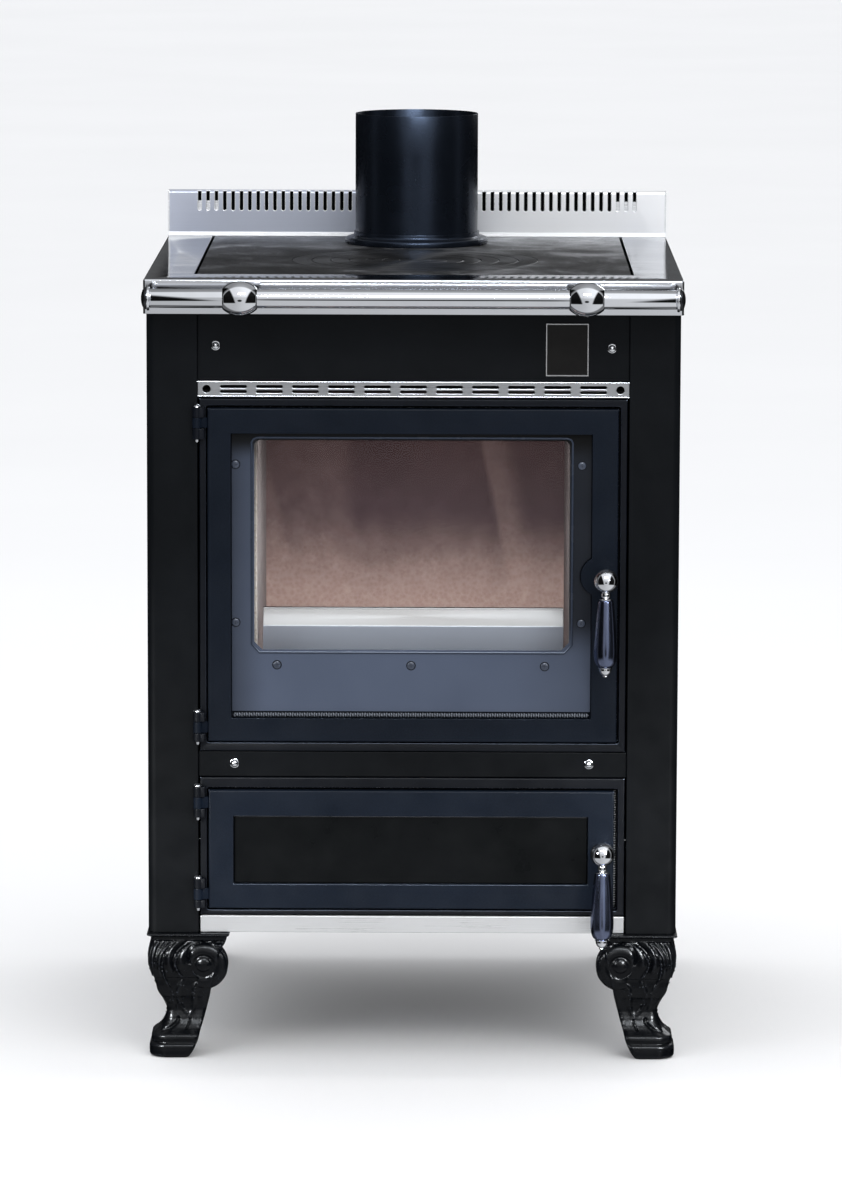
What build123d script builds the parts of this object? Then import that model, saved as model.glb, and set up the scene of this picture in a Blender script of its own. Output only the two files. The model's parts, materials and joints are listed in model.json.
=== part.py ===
from build123d import *
import os

# Wood cookstove on four cast legs: folded casing, cast firebox and ash doors on
# lift-off hinges, polished hob frame round a cast hob plate with lift-out rings,
# slotted backsplash, flue pipe and a towel rail.
#
# Frame: millimetres, +Z up, front of the stove faces -Y, +X to the right of a
# person facing it. Origin on the floor, in the middle of the stove's own box.
# Depths below are first given as d, the distance behind the face of the hob
# band, and Y(d) turns them into row coordinates.

os.makedirs("parts", exist_ok=True)

# ---------------------------------------------------------------- dimensions
HOB_W = 620.0            # overall width, at the hob band
HOB_TOP = 914.0          # working height
BAND_H = 40.0            # height of the hob band
HOB_D = 592.0            # hob frame, front to back
DEPTH_BACK = 614.0       # rear face of the backsplash channel
RAIL_OUT = 42.0          # rail axis in front of the band
RAIL_R = 11.0
RAIL_Z = 896.0
BEAD_R = 20.0            # largest radius of a rail bracket
PIPE_R = 75.0            # standard 150 mm flue
PIPE_T = 1.5
PIPE_TOP = 1073.0
FLUE_D = 500.0           # flue axis behind the band
BODY_HX = 308.0          # half width of the casing
BODY_Z0 = 146.5          # underside of the casing
BODY_Z1 = HOB_TOP - BAND_H
BODY_D0 = 24.0           # pilaster face
BODY_D1 = 600.0          # rear face of the casing
SHEET = 2.0
PIL_X = 249.0            # inner edge of the pilasters
FACE_D = 25.0            # face of both cast frames
FRAME_HX = 247.0
POCKET_HX = 239.5
MOUTH_HX = 229.5
POCKET_DEEP = 17.0
RIM_T = 6.0
SLAB_D0, SLAB_D1 = 20.0, 36.0     # door slabs, front and back
HINGE_X = -249.4
HINGE_D = 18.5
KNUCKLE_R = 5.2
PIN_R = 2.5
PIN_RUN = 0.06           # radial running clearance of a door knuckle
SPINDLE_R = 4.5
SPINDLE_RUN = 0.05
FIRE_KNOB = (222.6, 567.5)        # x and z of the firebox handle's spindle
ASH_KNOB = (220.9, 247.1)
BALL_R = 14.2
BALL_D = -8.0
RING_D = 256.0           # centre of the lift-out rings behind the band
RING_R = (145.7, 99.9, 57.8)      # top radii of outer ring, inner ring, plug
RING_GAP = 0.5
RING_LAP = 4.7
PLATE_T = 8.0
SHELL_HX = 246.0
SHELL_T = 4.0
LEG_TOP = BODY_Z0
LEG_W = 97.0

Y_BAND = -(DEPTH_BACK - RAIL_OUT - BEAD_R) / 2


def Y(d):
    """Row y of a point d behind the face of the hob band."""
    return Y_BAND + d


def rect(x0, x1, y0, y1, mode=Mode.ADD):
    """Rectangle by its limits, drawn in the sketch that is open."""
    with Locations(((x0 + x1) / 2, (y0 + y1) / 2)):
        Rectangle(x1 - x0, y1 - y0, mode=mode)


def front(d):
    """Sketch plane facing the front, at depth d: local x is X, local y is Z."""
    return Plane.XZ.offset(-Y(d))


# ------------------------------------------------------------------- casing
with BuildPart() as base_pan:
    with BuildSketch(Plane.XY.offset(BODY_Z0)) as base_pan_outline:
        rect(-BODY_HX + 3, BODY_HX - 3, Y(42), Y(BODY_D1 - 3))
        rect(-PIL_X + 0.5, PIL_X - 0.5, Y(29), Y(42))
    extrude(amount=3)
    with BuildSketch(Plane.XY.offset(BODY_Z0)) as base_pan_holes:
        with Locations((-250, Y(78)), (250, Y(78)), (-250, Y(540)), (250, Y(540))):
            Circle(4.1)
    extrude(amount=3, mode=Mode.SUBTRACT)

with BuildPart() as left_side_panel:
    with BuildSketch(Plane.XY.offset(BODY_Z0)) as side_section:
        rect(-BODY_HX, -PIL_X, Y(BODY_D0), Y(BODY_D1))
        rect(-BODY_HX + SHEET, -PIL_X - SHEET, Y(BODY_D0) + SHEET, Y(BODY_D1), mode=Mode.SUBTRACT)
        rect(-PIL_X - SHEET - 1, -PIL_X + 1, Y(BODY_D0 + 17), Y(BODY_D1) + 1, mode=Mode.SUBTRACT)
    extrude(amount=BODY_Z1 - BODY_Z0)
    # folded vertical corner, the sheet bent round a 10 mm radius
    fillet(left_side_panel.edges().filter_by(Axis.Z).group_by(Axis.Y)[1].sort_by(Axis.X)[0], radius=8)
    fillet(left_side_panel.edges().filter_by(Axis.Z).group_by(Axis.X)[0].sort_by(Axis.Y)[0], radius=10)

with BuildPart() as right_side_panel:
    mirror(left_side_panel.part, about=Plane.YZ)

with BuildPart() as rear_panel:
    with BuildSketch(front(BODY_D1)) as rear_outline:
        rect(-BODY_HX + SHEET, BODY_HX - SHEET, BODY_Z0 + 3, BODY_Z1)
        with Locations((-40, 230), (0, 230), (40, 230)):
            SlotOverall(40, 14, rotation=90, mode=Mode.SUBTRACT)
    extrude(amount=SHEET)

with BuildPart() as upper_fascia:
    with BuildSketch(front(29)) as fascia_outline:
        rect(-PIL_X, PIL_X, 794.6, BODY_Z1)
    extrude(amount=SHEET)

with BuildPart() as badge_plate:
    with BuildSketch(front(27)) as badge_outline:
        rect(152.5, 201.5, 801, 861.7)
    extrude(amount=1.6)
    with BuildSketch(front(25.4)) as badge_field:
        rect(154.2, 199.8, 802.7, 860.0)
    extrude(amount=-0.5, mode=Mode.SUBTRACT)

VENT_Z = 785.0
with BuildPart() as vent_strip:
    with BuildSketch(front(27)) as vent_outline:
        rect(-PIL_X, PIL_X, 775.8, 794.2)
        with Locations((0, VENT_Z)):
            with GridLocations(41.5, 5.8, 11, 2):
                SlotOverall(30.5, 3.0, mode=Mode.SUBTRACT)
        with Locations((-238.5, VENT_Z), (238.5, VENT_Z)):
            Circle(4.45, mode=Mode.SUBTRACT)
    extrude(amount=SHEET)

with BuildPart() as lower_cross_panel:
    with BuildSketch(front(29)) as cross_outline:
        rect(-PIL_X, PIL_X, 331.5, 361)
    extrude(amount=SHEET)

with BuildPart() as plinth_strip:
    with BuildSketch(front(28)) as plinth_outline:
        rect(-FRAME_HX, FRAME_HX, 147, 167)
    extrude(amount=3)
    chamfer(plinth_strip.edges().group_by(Axis.Y)[0].filter_by(Axis.X), length=0.8)

# chromed dome nuts on the fascia and the lower cross panel
with BuildPart() as panel_dome_nuts:
    with BuildSketch(front(27)) as nut_seats:
        with Locations((-228, 835), (228.5, 833), (-207, 347), (205.3, 347)):
            Circle(5.5)
    extrude(amount=4.6)
    fillet(panel_dome_nuts.edges().group_by(Axis.Y)[0], radius=4.2)

# ------------------------------------------------------------- cast frames
with BuildPart() as firebox_front_frame:
    with BuildSketch(front(FACE_D + POCKET_DEEP + RIM_T)) as ff_outline:
        rect(-FRAME_HX, FRAME_HX, 362, 773.7)
    extrude(amount=POCKET_DEEP + RIM_T)
    fillet(firebox_front_frame.edges().group_by(Axis.Y)[0], radius=1.5)
    with BuildSketch(front(FACE_D + POCKET_DEEP)) as ff_pocket:
        rect(-POCKET_HX, POCKET_HX, 371.5, 766)
        fillet(ff_pocket.vertices(), radius=3)
    extrude(amount=POCKET_DEEP, mode=Mode.SUBTRACT)
    with BuildSketch(front(FACE_D + POCKET_DEEP + RIM_T)) as ff_mouth:
        rect(-MOUTH_HX, MOUTH_HX, 383, 754)
    extrude(amount=RIM_T, mode=Mode.SUBTRACT)

with BuildPart() as ash_front_frame:
    with BuildSketch(front(FACE_D + POCKET_DEEP + RIM_T)) as af_outline:
        rect(-FRAME_HX, FRAME_HX, 168.5, 330.5)
    extrude(amount=POCKET_DEEP + RIM_T)
    fillet(ash_front_frame.edges().group_by(Axis.Y)[0], radius=1.5)
    with BuildSketch(front(FACE_D + POCKET_DEEP)) as af_pocket:
        rect(-POCKET_HX, POCKET_HX, 173.5, 319)
        fillet(af_pocket.vertices(), radius=3)
    extrude(amount=POCKET_DEEP, mode=Mode.SUBTRACT)
    with BuildSketch(front(FACE_D + POCKET_DEEP + RIM_T)) as af_mouth:
        rect(-MOUTH_HX, MOUTH_HX, 184, 308)
    extrude(amount=RIM_T, mode=Mode.SUBTRACT)

# rope seals lie in the bottom of each frame's pocket, just behind the doors
with BuildPart() as door_rope_seals:
    with BuildSketch(front(FACE_D + POCKET_DEEP)) as seal_rings:
        for z0, z1 in ((373.0, 764.5), (175.0, 317.5)):
            with Locations((0, (z0 + z1) / 2)):
                RectangleRounded(476, z1 - z0, 8)
                RectangleRounded(462.4, z1 - z0 - 13.6, 2, mode=Mode.SUBTRACT)
    extrude(amount=5.6)
    fillet(door_rope_seals.edges().group_by(Axis.Y)[0], radius=2.4)

# ------------------------------------------------------------------ firebox
with BuildPart() as firebox_shell:
    with BuildSketch(Plane.XY.offset(368)) as shell_outline:
        rect(-SHELL_HX, SHELL_HX, Y(48), Y(420))
    extrude(amount=410)
    with BuildSketch(Plane.XY.offset(372)) as shell_hollow:
        rect(-SHELL_HX + SHELL_T, SHELL_HX - SHELL_T, Y(47), Y(416))
    extrude(amount=420, mode=Mode.SUBTRACT)
    with BuildSketch(Plane.XY.offset(368)) as shell_drop:
        rect(-90, 90, Y(130), Y(310))
    extrude(amount=4, mode=Mode.SUBTRACT)

with BuildPart() as smoke_chamber:
    with BuildSketch(Plane.XY.offset(778)) as smoke_floor:
        rect(-SHELL_HX, SHELL_HX, Y(48), Y(586))
    extrude(amount=SHELL_T)
    with BuildSketch(Plane.XY.offset(778)) as smoke_walls:
        rect(-SHELL_HX, SHELL_HX, Y(72), Y(586))
    extrude(amount=HOB_TOP - PLATE_T - 778)
    with BuildSketch(Plane.XY.offset(778 + SHELL_T)) as smoke_hollow:
        rect(-SHELL_HX + SHELL_T, SHELL_HX - SHELL_T, Y(76), Y(582))
    extrude(amount=200, mode=Mode.SUBTRACT)
    with BuildSketch(Plane.XY.offset(778)) as smoke_throat:
        rect(-200, 200, Y(80), Y(400))
    extrude(amount=SHELL_T, mode=Mode.SUBTRACT)

with BuildPart() as hearth_brick:
    with BuildSketch(Plane.XY.offset(372)) as hearth_outline:
        rect(-241.5, 241.5, Y(58), Y(415.5))
        rect(-100, 100, Y(120), Y(320), mode=Mode.SUBTRACT)
    extrude(amount=25)

with BuildPart() as fire_grate:
    with BuildSketch(Plane.XY.offset(372)) as grate_outline:
        rect(-99, 99, Y(121), Y(319))
        with Locations((0, Y(174)), (0, Y(266))):
            with GridLocations(18, 10, 9, 1):
                SlotOverall(76, 8, rotation=90, mode=Mode.SUBTRACT)
    extrude(amount=18)

with BuildPart() as vermiculite_back:
    with BuildSketch(Plane.XY.offset(397)) as back_board:
        rect(-241.5, 241.5, Y(390.5), Y(415.5))
    extrude(amount=355)
    chamfer(vermiculite_back.edges().group_by(Axis.Z)[-1], length=1.5)

with BuildPart() as vermiculite_sides:
    with BuildSketch(Plane.XY.offset(397)) as side_boards:
        rect(-206.5, -181.5, Y(58), Y(390))
        rect(-241.5, -181.5, Y(58), Y(83))
        rect(181.5, 206.5, Y(58), Y(390))
        rect(181.5, 241.5, Y(58), Y(83))
    extrude(amount=355)
    chamfer(vermiculite_sides.edges().group_by(Axis.Z)[-1], length=1.5)

with BuildPart() as baffle_plate:
    with BuildSketch(Plane.XY.offset(752)) as baffle_outline:
        rect(-241, 241, Y(150), Y(415))
    extrude(amount=20)
    chamfer(baffle_plate.edges().group_by(Axis.Z)[-1], length=1.5)

# stainless guard that keeps the logs off the glass: upright plate, top edge
# folded back into a sloping flange
with BuildPart() as log_guard:
    with BuildSketch(Plane.YZ.offset(-176)) as guard_section:
        with BuildLine():
            Polyline(
                (Y(92), 397), (Y(94), 397), (Y(94), 498.4), (Y(106), 517.6),
                (Y(104.4), 518.6), (Y(92), 499), (Y(92), 397),
            )
        make_face()
    extrude(amount=352)

with BuildPart() as ash_box:
    with BuildSketch(Plane.XY.offset(180.4)) as ash_outline:
        rect(-SHELL_HX, SHELL_HX, Y(48), Y(440))
    extrude(amount=368 - 180.4)
    with BuildSketch(Plane.XY.offset(184.4)) as ash_hollow:
        rect(-SHELL_HX + SHELL_T, SHELL_HX - SHELL_T, Y(47), Y(436))
    extrude(amount=364 - 184.4, mode=Mode.SUBTRACT)
    with BuildSketch(Plane.XY.offset(364)) as ash_drop:
        rect(-95, 95, Y(125), Y(315))
    extrude(amount=4, mode=Mode.SUBTRACT)
    with BuildSketch(front(440)) as ash_air:
        with Locations((-40, 270), (0, 270), (40, 270)):
            SlotOverall(40, 14, rotation=90)
    extrude(amount=4, mode=Mode.SUBTRACT)

with BuildPart() as ash_pan:
    with BuildSketch(Plane.XY.offset(184.6)) as pan_outline:
        rect(-145, 145, Y(62), Y(400))
    extrude(amount=54)
    with BuildSketch(Plane.XY.offset(186.2)) as pan_hollow:
        rect(-143.4, 143.4, Y(63.6), Y(398.4))
    extrude(amount=60, mode=Mode.SUBTRACT)
    # folded lip to draw the pan out by
    with BuildSketch(front(62)) as pan_lip:
        rect(-45, 45, 231, 233)
    extrude(amount=8)
    with BuildSketch(front(55.6)) as pan_lip_edge:
        rect(-45, 45, 221, 233)
    extrude(amount=1.6)

# ---------------------------------------------------------------------- hob
with BuildPart() as hob_frame:
    with BuildSketch(Plane.XY.offset(BODY_Z1)) as hob_outline:
        rect(-HOB_W / 2, HOB_W / 2, Y(0), Y(HOB_D))
    extrude(amount=BAND_H)
    fillet(hob_frame.edges().filter_by(Axis.Z), radius=3)
    fillet(hob_frame.edges().group_by(Axis.Z)[-1], radius=2.5)
    with BuildSketch(Plane.XY.offset(BODY_Z1)) as hob_hollow:
        rect(-HOB_W / 2 + 3, HOB_W / 2 - 3, Y(3), Y(HOB_D - 3))
    extrude(amount=BAND_H - 3, mode=Mode.SUBTRACT)
    with BuildSketch(Plane.XY.offset(HOB_TOP - 3)) as hob_cutout:
        rect(-254.5, 254.5, Y(66), Y(HOB_D - 3))
    extrude(amount=3, mode=Mode.SUBTRACT)

with BuildPart() as hob_plate:
    with BuildSketch(Plane.XY.offset(HOB_TOP - PLATE_T)) as plate_outline:
        rect(-251, 251, Y(69), Y(586))
        fillet(plate_outline.vertices(), radius=4)
        with Locations((0, Y(RING_D))):
            Circle(RING_R[0] - RING_LAP + RING_GAP, mode=Mode.SUBTRACT)
        with Locations((0, Y(FLUE_D))):
            Circle(74.2, mode=Mode.SUBTRACT)
    extrude(amount=PLATE_T)
    with BuildSketch(Plane.XY.offset(HOB_TOP - PLATE_T / 2)) as plate_rebate:
        with Locations((0, Y(RING_D))):
            Circle(RING_R[0] + RING_GAP)
    extrude(amount=PLATE_T / 2, mode=Mode.SUBTRACT)

with BuildPart() as hob_ring_outer:
    with BuildSketch(Plane.XY.offset(HOB_TOP - PLATE_T)) as ring_o_low:
        with Locations((0, Y(RING_D))):
            Circle(RING_R[0] - RING_LAP)
            Circle(RING_R[1] - RING_LAP + RING_GAP, mode=Mode.SUBTRACT)
    extrude(amount=PLATE_T / 2)
    with BuildSketch(Plane.XY.offset(HOB_TOP - PLATE_T / 2)) as ring_o_top:
        with Locations((0, Y(RING_D))):
            Circle(RING_R[0])
            Circle(RING_R[1] + RING_GAP, mode=Mode.SUBTRACT)
    extrude(amount=PLATE_T / 2)
    with BuildSketch(Plane.XY.offset(HOB_TOP - 1)) as ring_o_groove:
        with Locations((0, Y(RING_D))):
            Circle(123.5)
            Circle(122.1, mode=Mode.SUBTRACT)
    extrude(amount=1, mode=Mode.SUBTRACT)

with BuildPart() as hob_ring_inner:
    with BuildSketch(Plane.XY.offset(HOB_TOP - PLATE_T)) as ring_i_low:
        with Locations((0, Y(RING_D))):
            Circle(RING_R[1] - RING_LAP)
            Circle(RING_R[2] - RING_LAP + RING_GAP, mode=Mode.SUBTRACT)
    extrude(amount=PLATE_T / 2)
    with BuildSketch(Plane.XY.offset(HOB_TOP - PLATE_T / 2)) as ring_i_top:
        with Locations((0, Y(RING_D))):
            Circle(RING_R[1])
            Circle(RING_R[2] + RING_GAP, mode=Mode.SUBTRACT)
    extrude(amount=PLATE_T / 2)
    with BuildSketch(Plane.XY.offset(HOB_TOP - 1)) as ring_i_groove:
        with Locations((0, Y(RING_D))):
            Circle(79.0)
            Circle(77.6, mode=Mode.SUBTRACT)
    extrude(amount=1, mode=Mode.SUBTRACT)

with BuildPart() as hob_plug:
    with BuildSketch(Plane.XY.offset(HOB_TOP - PLATE_T)) as plug_low:
        with Locations((0, Y(RING_D))):
            Circle(RING_R[2] - RING_LAP)
    extrude(amount=PLATE_T / 2)
    with BuildSketch(Plane.XY.offset(HOB_TOP - PLATE_T / 2)) as plug_top:
        with Locations((0, Y(RING_D))):
            Circle(RING_R[2])
    extrude(amount=PLATE_T / 2)
    # notch for the lifting key, on the left edge
    with BuildSketch(Plane.XY.offset(HOB_TOP - 3)) as plug_notch:
        with Locations((-RING_R[2] + 4, Y(RING_D + 11))):
            Rectangle(12, 7)
    extrude(amount=3, mode=Mode.SUBTRACT)

with BuildPart() as flue_collar:
    with BuildSketch(Plane.XZ.offset(-Y(FLUE_D))) as collar_section:
        with BuildLine():
            Polyline(
                (75.25, HOB_TOP), (86.6, HOB_TOP), (87.5, HOB_TOP + 1.4), (87.5, HOB_TOP + 5.4), (86.6, HOB_TOP + 7),
                (84.6, HOB_TOP + 8), (80, HOB_TOP + 8.4), (77.6, HOB_TOP + 9.4), (77, HOB_TOP + 10.6),
                (77, HOB_TOP + 15), (75.25, HOB_TOP + 15), (75.25, HOB_TOP),
            )
        make_face()
    revolve(axis=Axis((0, Y(FLUE_D), 0), (0, 0, 1)))

with BuildPart() as flue_pipe:
    with BuildSketch(Plane.XY.offset(HOB_TOP)) as pipe_section:
        with Locations((0, Y(FLUE_D))):
            Circle(PIPE_R)
            Circle(PIPE_R - PIPE_T, mode=Mode.SUBTRACT)
    extrude(amount=PIPE_TOP - HOB_TOP)

SLOT_N, SLOT_PITCH, SLOT_W = 53, 10.4, 4.15
with BuildPart() as backsplash:
    with BuildSketch(Plane.YZ.offset(-HOB_W / 2)) as splash_section:
        rect(Y(HOB_D), Y(DEPTH_BACK), BODY_Z1, 970)
    extrude(amount=HOB_W)
    fillet(backsplash.edges().filter_by(Axis.X).group_by(Axis.Z)[-1], radius=2)
    with BuildSketch(Plane.XY.offset(BODY_Z1)) as splash_hollow:
        rect(-HOB_W / 2 + 1.5, HOB_W / 2 - 1.5, Y(HOB_D + 1.5), Y(DEPTH_BACK - 1.5))
    extrude(amount=970 - BODY_Z1 - 1.5, mode=Mode.SUBTRACT)
    with BuildSketch(Plane.XY.offset(945.5)) as splash_slots:
        with Locations((0, Y(HOB_D + 3.5))):
            with GridLocations(SLOT_PITCH, 1, SLOT_N, 1):
                Rectangle(SLOT_W, 9)
    extrude(amount=30, mode=Mode.SUBTRACT)

# --------------------------------------------------------------- towel rail
RAIL_AXIS = Axis((0, Y(-RAIL_OUT), RAIL_Z), (1, 0, 0))
with BuildPart() as towel_rail:
    with BuildSketch(Plane.YZ.offset(-300)) as rail_section:
        with Locations((Y(-RAIL_OUT), RAIL_Z)):
            Circle(RAIL_R)
            Circle(RAIL_R - 1.5, mode=Mode.SUBTRACT)
    extrude(amount=600)

with BuildPart() as rail_end_caps:
    for side in (-1, 1):
        with BuildSketch(Plane.XY.offset(RAIL_Z)) as cap_section:
            with BuildLine():
                Polyline(
                    (side * 310, Y(-RAIL_OUT)), (side * 300, Y(-RAIL_OUT)),
                    (side * 300, Y(-RAIL_OUT) + 13), (side * 301, Y(-RAIL_OUT) + 14),
                    (side * 304.5, Y(-RAIL_OUT) + 14), (side * 307.5, Y(-RAIL_OUT) + 11.4),
                    (side * 309.2, Y(-RAIL_OUT) + 7.4), (side * 310, Y(-RAIL_OUT)),
                )
            make_face()
        revolve(axis=RAIL_AXIS)

with BuildPart() as rail_brackets:
    for cx in (-197.5, 197.5):
        with BuildSketch(Plane.XY.offset(RAIL_Z)) as bead_section:
            with BuildLine():
                Polyline(
                    (cx - 19.75, Y(-RAIL_OUT) - 12), (cx - 19.75, Y(-RAIL_OUT) - 11.1),
                    (cx + 19.75, Y(-RAIL_OUT) - 11.1), (cx + 19.75, Y(-RAIL_OUT) - 12),
                )
                ThreePointArc(
                    (cx + 19.75, Y(-RAIL_OUT) - 12), (cx, Y(-RAIL_OUT) - BEAD_R),
                    (cx - 19.75, Y(-RAIL_OUT) - 12),
                )
            make_face()
        revolve(axis=RAIL_AXIS)
        # stem from the bead to the hob band, with its rosette
        with BuildSketch(front(0)) as stem_section:
            with Locations((cx, RAIL_Z)):
                Circle(8)
        extrude(amount=RAIL_OUT - 14)
        with BuildSketch(front(0)) as rosette_section:
            with Locations((cx, RAIL_Z)):
                Circle(12)
        extrude(amount=4)

# --------------------------------------------------------------------- legs
# Cast cabriole leg: outline seen from the front, measured inward from its
# outermost point, and the same outline from the side, kicked 12 mm forward at
# the foot. Two wings meet at the outer corner and are hollow behind.
LEG_OUTLINE = (
    (0.6, 146.5), (97.0, 146.5), (97.0, 142.9), (92.0, 140.5), (75.0, 77.0),
    (70.8, 59.8), (66.1, 41.3), (62.6, 24.1), (58.9, 13.7), (49.4, 0.0),
    (6.5, 0.0), (2.7, 3.5), (2.7, 15.5), (4.9, 17.2), (6.5, 26.5),
    (14.9, 32.2), (19.6, 39.1), (22.1, 48.3), (20.9, 59.8), (16.1, 68.9),
    (11.3, 74.7), (5.4, 91.9), (0.0, 113.7), (3.0, 136.0), (0.6, 142.9), (0.6, 146.5),
)
LEG_KICK = 12.0
LEG_D = 18.0             # flange front behind the band
with BuildPart() as leg_front_left:
    with BuildSketch(front(LEG_D + 100)) as leg_front_view:
        with BuildLine():
            Polyline(*[(-310 + x, z) for x, z in LEG_OUTLINE])
        make_face()
        with Locations((-310 + 68.5, 112.6)):
            Circle(28.5)
        rect(-310, -212, 146.5, 200, mode=Mode.SUBTRACT)
    extrude(amount=120)
    with BuildSketch(Plane.YZ.offset(-320)) as leg_side_view:
        with BuildLine():
            Polyline(*[(Y(LEG_D) + x - LEG_KICK * (1 - z / LEG_TOP), z) for x, z in LEG_OUTLINE])
        make_face()
        with Locations((Y(LEG_D) + 68.5 - LEG_KICK * 0.23, 112.6)):
            Circle(28.5)
        rect(Y(LEG_D), Y(LEG_D + 100), 146.5, 200, mode=Mode.SUBTRACT)
    extrude(amount=120, mode=Mode.INTERSECT)
    with BuildSketch(Plane.XY.offset(64)) as leg_hollow:
        rect(-310 + 27, -310 + 110, Y(LEG_D + 27), Y(LEG_D + 110))
    extrude(amount=142.9 - 64, mode=Mode.SUBTRACT)
    with BuildSketch(Plane.XY.offset(142.9)) as leg_hole:
        with Locations((-250, Y(78))):
            Circle(4.4)
    extrude(amount=3.6, mode=Mode.SUBTRACT)

with BuildPart() as leg_front_right:
    mirror(leg_front_left.part, about=Plane.YZ)

LEG_MIRROR = Plane.XZ.offset(-Y(309))
with BuildPart() as leg_rear_left:
    mirror(leg_front_left.part, about=LEG_MIRROR)

with BuildPart() as leg_rear_right:
    mirror(leg_rear_left.part, about=Plane.YZ)

with BuildPart() as leg_bolts:
    with BuildSketch(Plane.XY.offset(142.9)) as bolt_heads:
        with Locations((-250, Y(78)), (250, Y(78)), (-250, Y(540)), (250, Y(540))):
            RegularPolygon(7, 6)
    extrude(amount=-5)
    with BuildSketch(Plane.XY.offset(142.9)) as bolt_shanks:
        with Locations((-250, Y(78)), (250, Y(78)), (-250, Y(540)), (250, Y(540))):
            Circle(4)
    extrude(amount=14)

# ------------------------------------------------------------------- hinges
# (fixed top, door, fixed bottom) knuckle heights of each hinge, top to bottom
HINGES = (
    (764.4, 752.4, 740.4, 727.5),
    (408.4, 397.3, 383.9, 374.0),
    (320.5, 308.3, 295.0, 284.8),
    (211.7, 200.0, 187.0, 177.5),
)
HINGE_GAP = 0.3
with BuildPart() as hinge_lugs:
    for z3, z2, z1, z0 in HINGES:
        for low, high in ((z0, z1 - HINGE_GAP), (z2 + HINGE_GAP, z3)):
            with BuildSketch(Plane.XY.offset(low)) as lug_section:
                with Locations((HINGE_X, Y(HINGE_D))):
                    Circle(KNUCKLE_R)
                rect(HINGE_X + 0.6, -241, Y(14.4), Y(FACE_D))
                with Locations((HINGE_X, Y(HINGE_D))):
                    Circle(PIN_R + 0.02, mode=Mode.SUBTRACT)
            extrude(amount=high - low)

with BuildPart() as hinge_pins:
    for z3, z2, z1, z0 in HINGES:
        with BuildSketch(Plane.XZ.offset(-Y(HINGE_D))) as pin_section:
            with BuildLine():
                Polyline(
                    (HINGE_X, z3 + 4.2), (HINGE_X, z0 - 4), (HINGE_X + 1.6, z0 - 4),
                    (HINGE_X + PIN_R, z0 - 0.2), (HINGE_X + PIN_R, z3),
                    (HINGE_X + KNUCKLE_R, z3), (HINGE_X + KNUCKLE_R, z3 + 1.6),
                )
                RadiusArc((HINGE_X + KNUCKLE_R, z3 + 1.6), (HINGE_X, z3 + 4.2), -6.5)
            make_face()
        revolve(axis=Axis((HINGE_X, Y(HINGE_D), 0), (0, 0, 1)))

def arm_outline(door_x):
    """Web from the knuckle to the edge of the door, seen from above."""
    return (
        (HINGE_X, Y(13.9)), (door_x, Y(21.5)), (door_x, Y(24.4)), (-244.5, Y(24.4)),
        (-247, Y(22.6)), (HINGE_X, Y(22.6)), (HINGE_X, Y(13.9)),
    )


with BuildPart() as firebox_hinge_arms:
    for z3, z2, z1, z0 in HINGES[:2]:
        with BuildSketch(Plane.XY.offset(z1)) as fire_arm_section:
            with Locations((HINGE_X, Y(HINGE_D))):
                Circle(KNUCKLE_R)
            with BuildLine():
                Polyline(*arm_outline(-237.5))
            make_face()
            with Locations((HINGE_X, Y(HINGE_D))):
                Circle(PIN_R + PIN_RUN, mode=Mode.SUBTRACT)
        extrude(amount=z2 - z1)

with BuildPart() as ash_hinge_arms:
    for z3, z2, z1, z0 in HINGES[2:]:
        with BuildSketch(Plane.XY.offset(z1)) as ash_arm_section:
            with Locations((HINGE_X, Y(HINGE_D))):
                Circle(KNUCKLE_R)
            with BuildLine():
                Polyline(*arm_outline(-237.0))
            make_face()
            with Locations((HINGE_X, Y(HINGE_D))):
                Circle(PIN_R + PIN_RUN, mode=Mode.SUBTRACT)
        extrude(amount=z2 - z1)

# ------------------------------------------------------------- firebox door
SCREWS = (
    (-205.3, 697.5), (-205.3, 513.0), (195.0, 697.0), (195.0, 513.0),
    (-157.5, 463.3), (-2.0, 462.8), (153.0, 462.3),
)
BOSS = (217.0, 568.5)
with BuildPart() as firebox_door_frame:
    with BuildSketch(front(SLAB_D1)) as fd_outline:
        rect(-237.5, 236.7, 374, 763)
    extrude(amount=SLAB_D1 - SLAB_D0)
    fillet(firebox_door_frame.edges().group_by(Axis.Y)[0], radius=2)
    with BuildSketch(front(29)) as fd_recess:
        rect(-210.7, 207, 401, 734)
        with Locations(BOSS):
            Circle(23, mode=Mode.SUBTRACT)
    extrude(amount=9, mode=Mode.SUBTRACT)
    with BuildSketch(front(34.2)) as fd_rebate:
        rect(-200, 190, 468, 731)
    extrude(amount=5.2, mode=Mode.SUBTRACT)
    with BuildSketch(front(SLAB_D1)) as fd_window:
        rect(-188, 184, 478, 727)
    extrude(amount=2, mode=Mode.SUBTRACT)
    with BuildSketch(front(34)) as fd_screw_holes:
        with Locations(*SCREWS):
            Circle(1.7)
    extrude(amount=5, mode=Mode.SUBTRACT)
    with BuildSketch(front(SLAB_D1)) as fd_spindle_hole:
        with Locations(FIRE_KNOB):
            Circle(SPINDLE_R + SPINDLE_RUN)
    extrude(amount=SLAB_D1 - SLAB_D0, mode=Mode.SUBTRACT)

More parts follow.
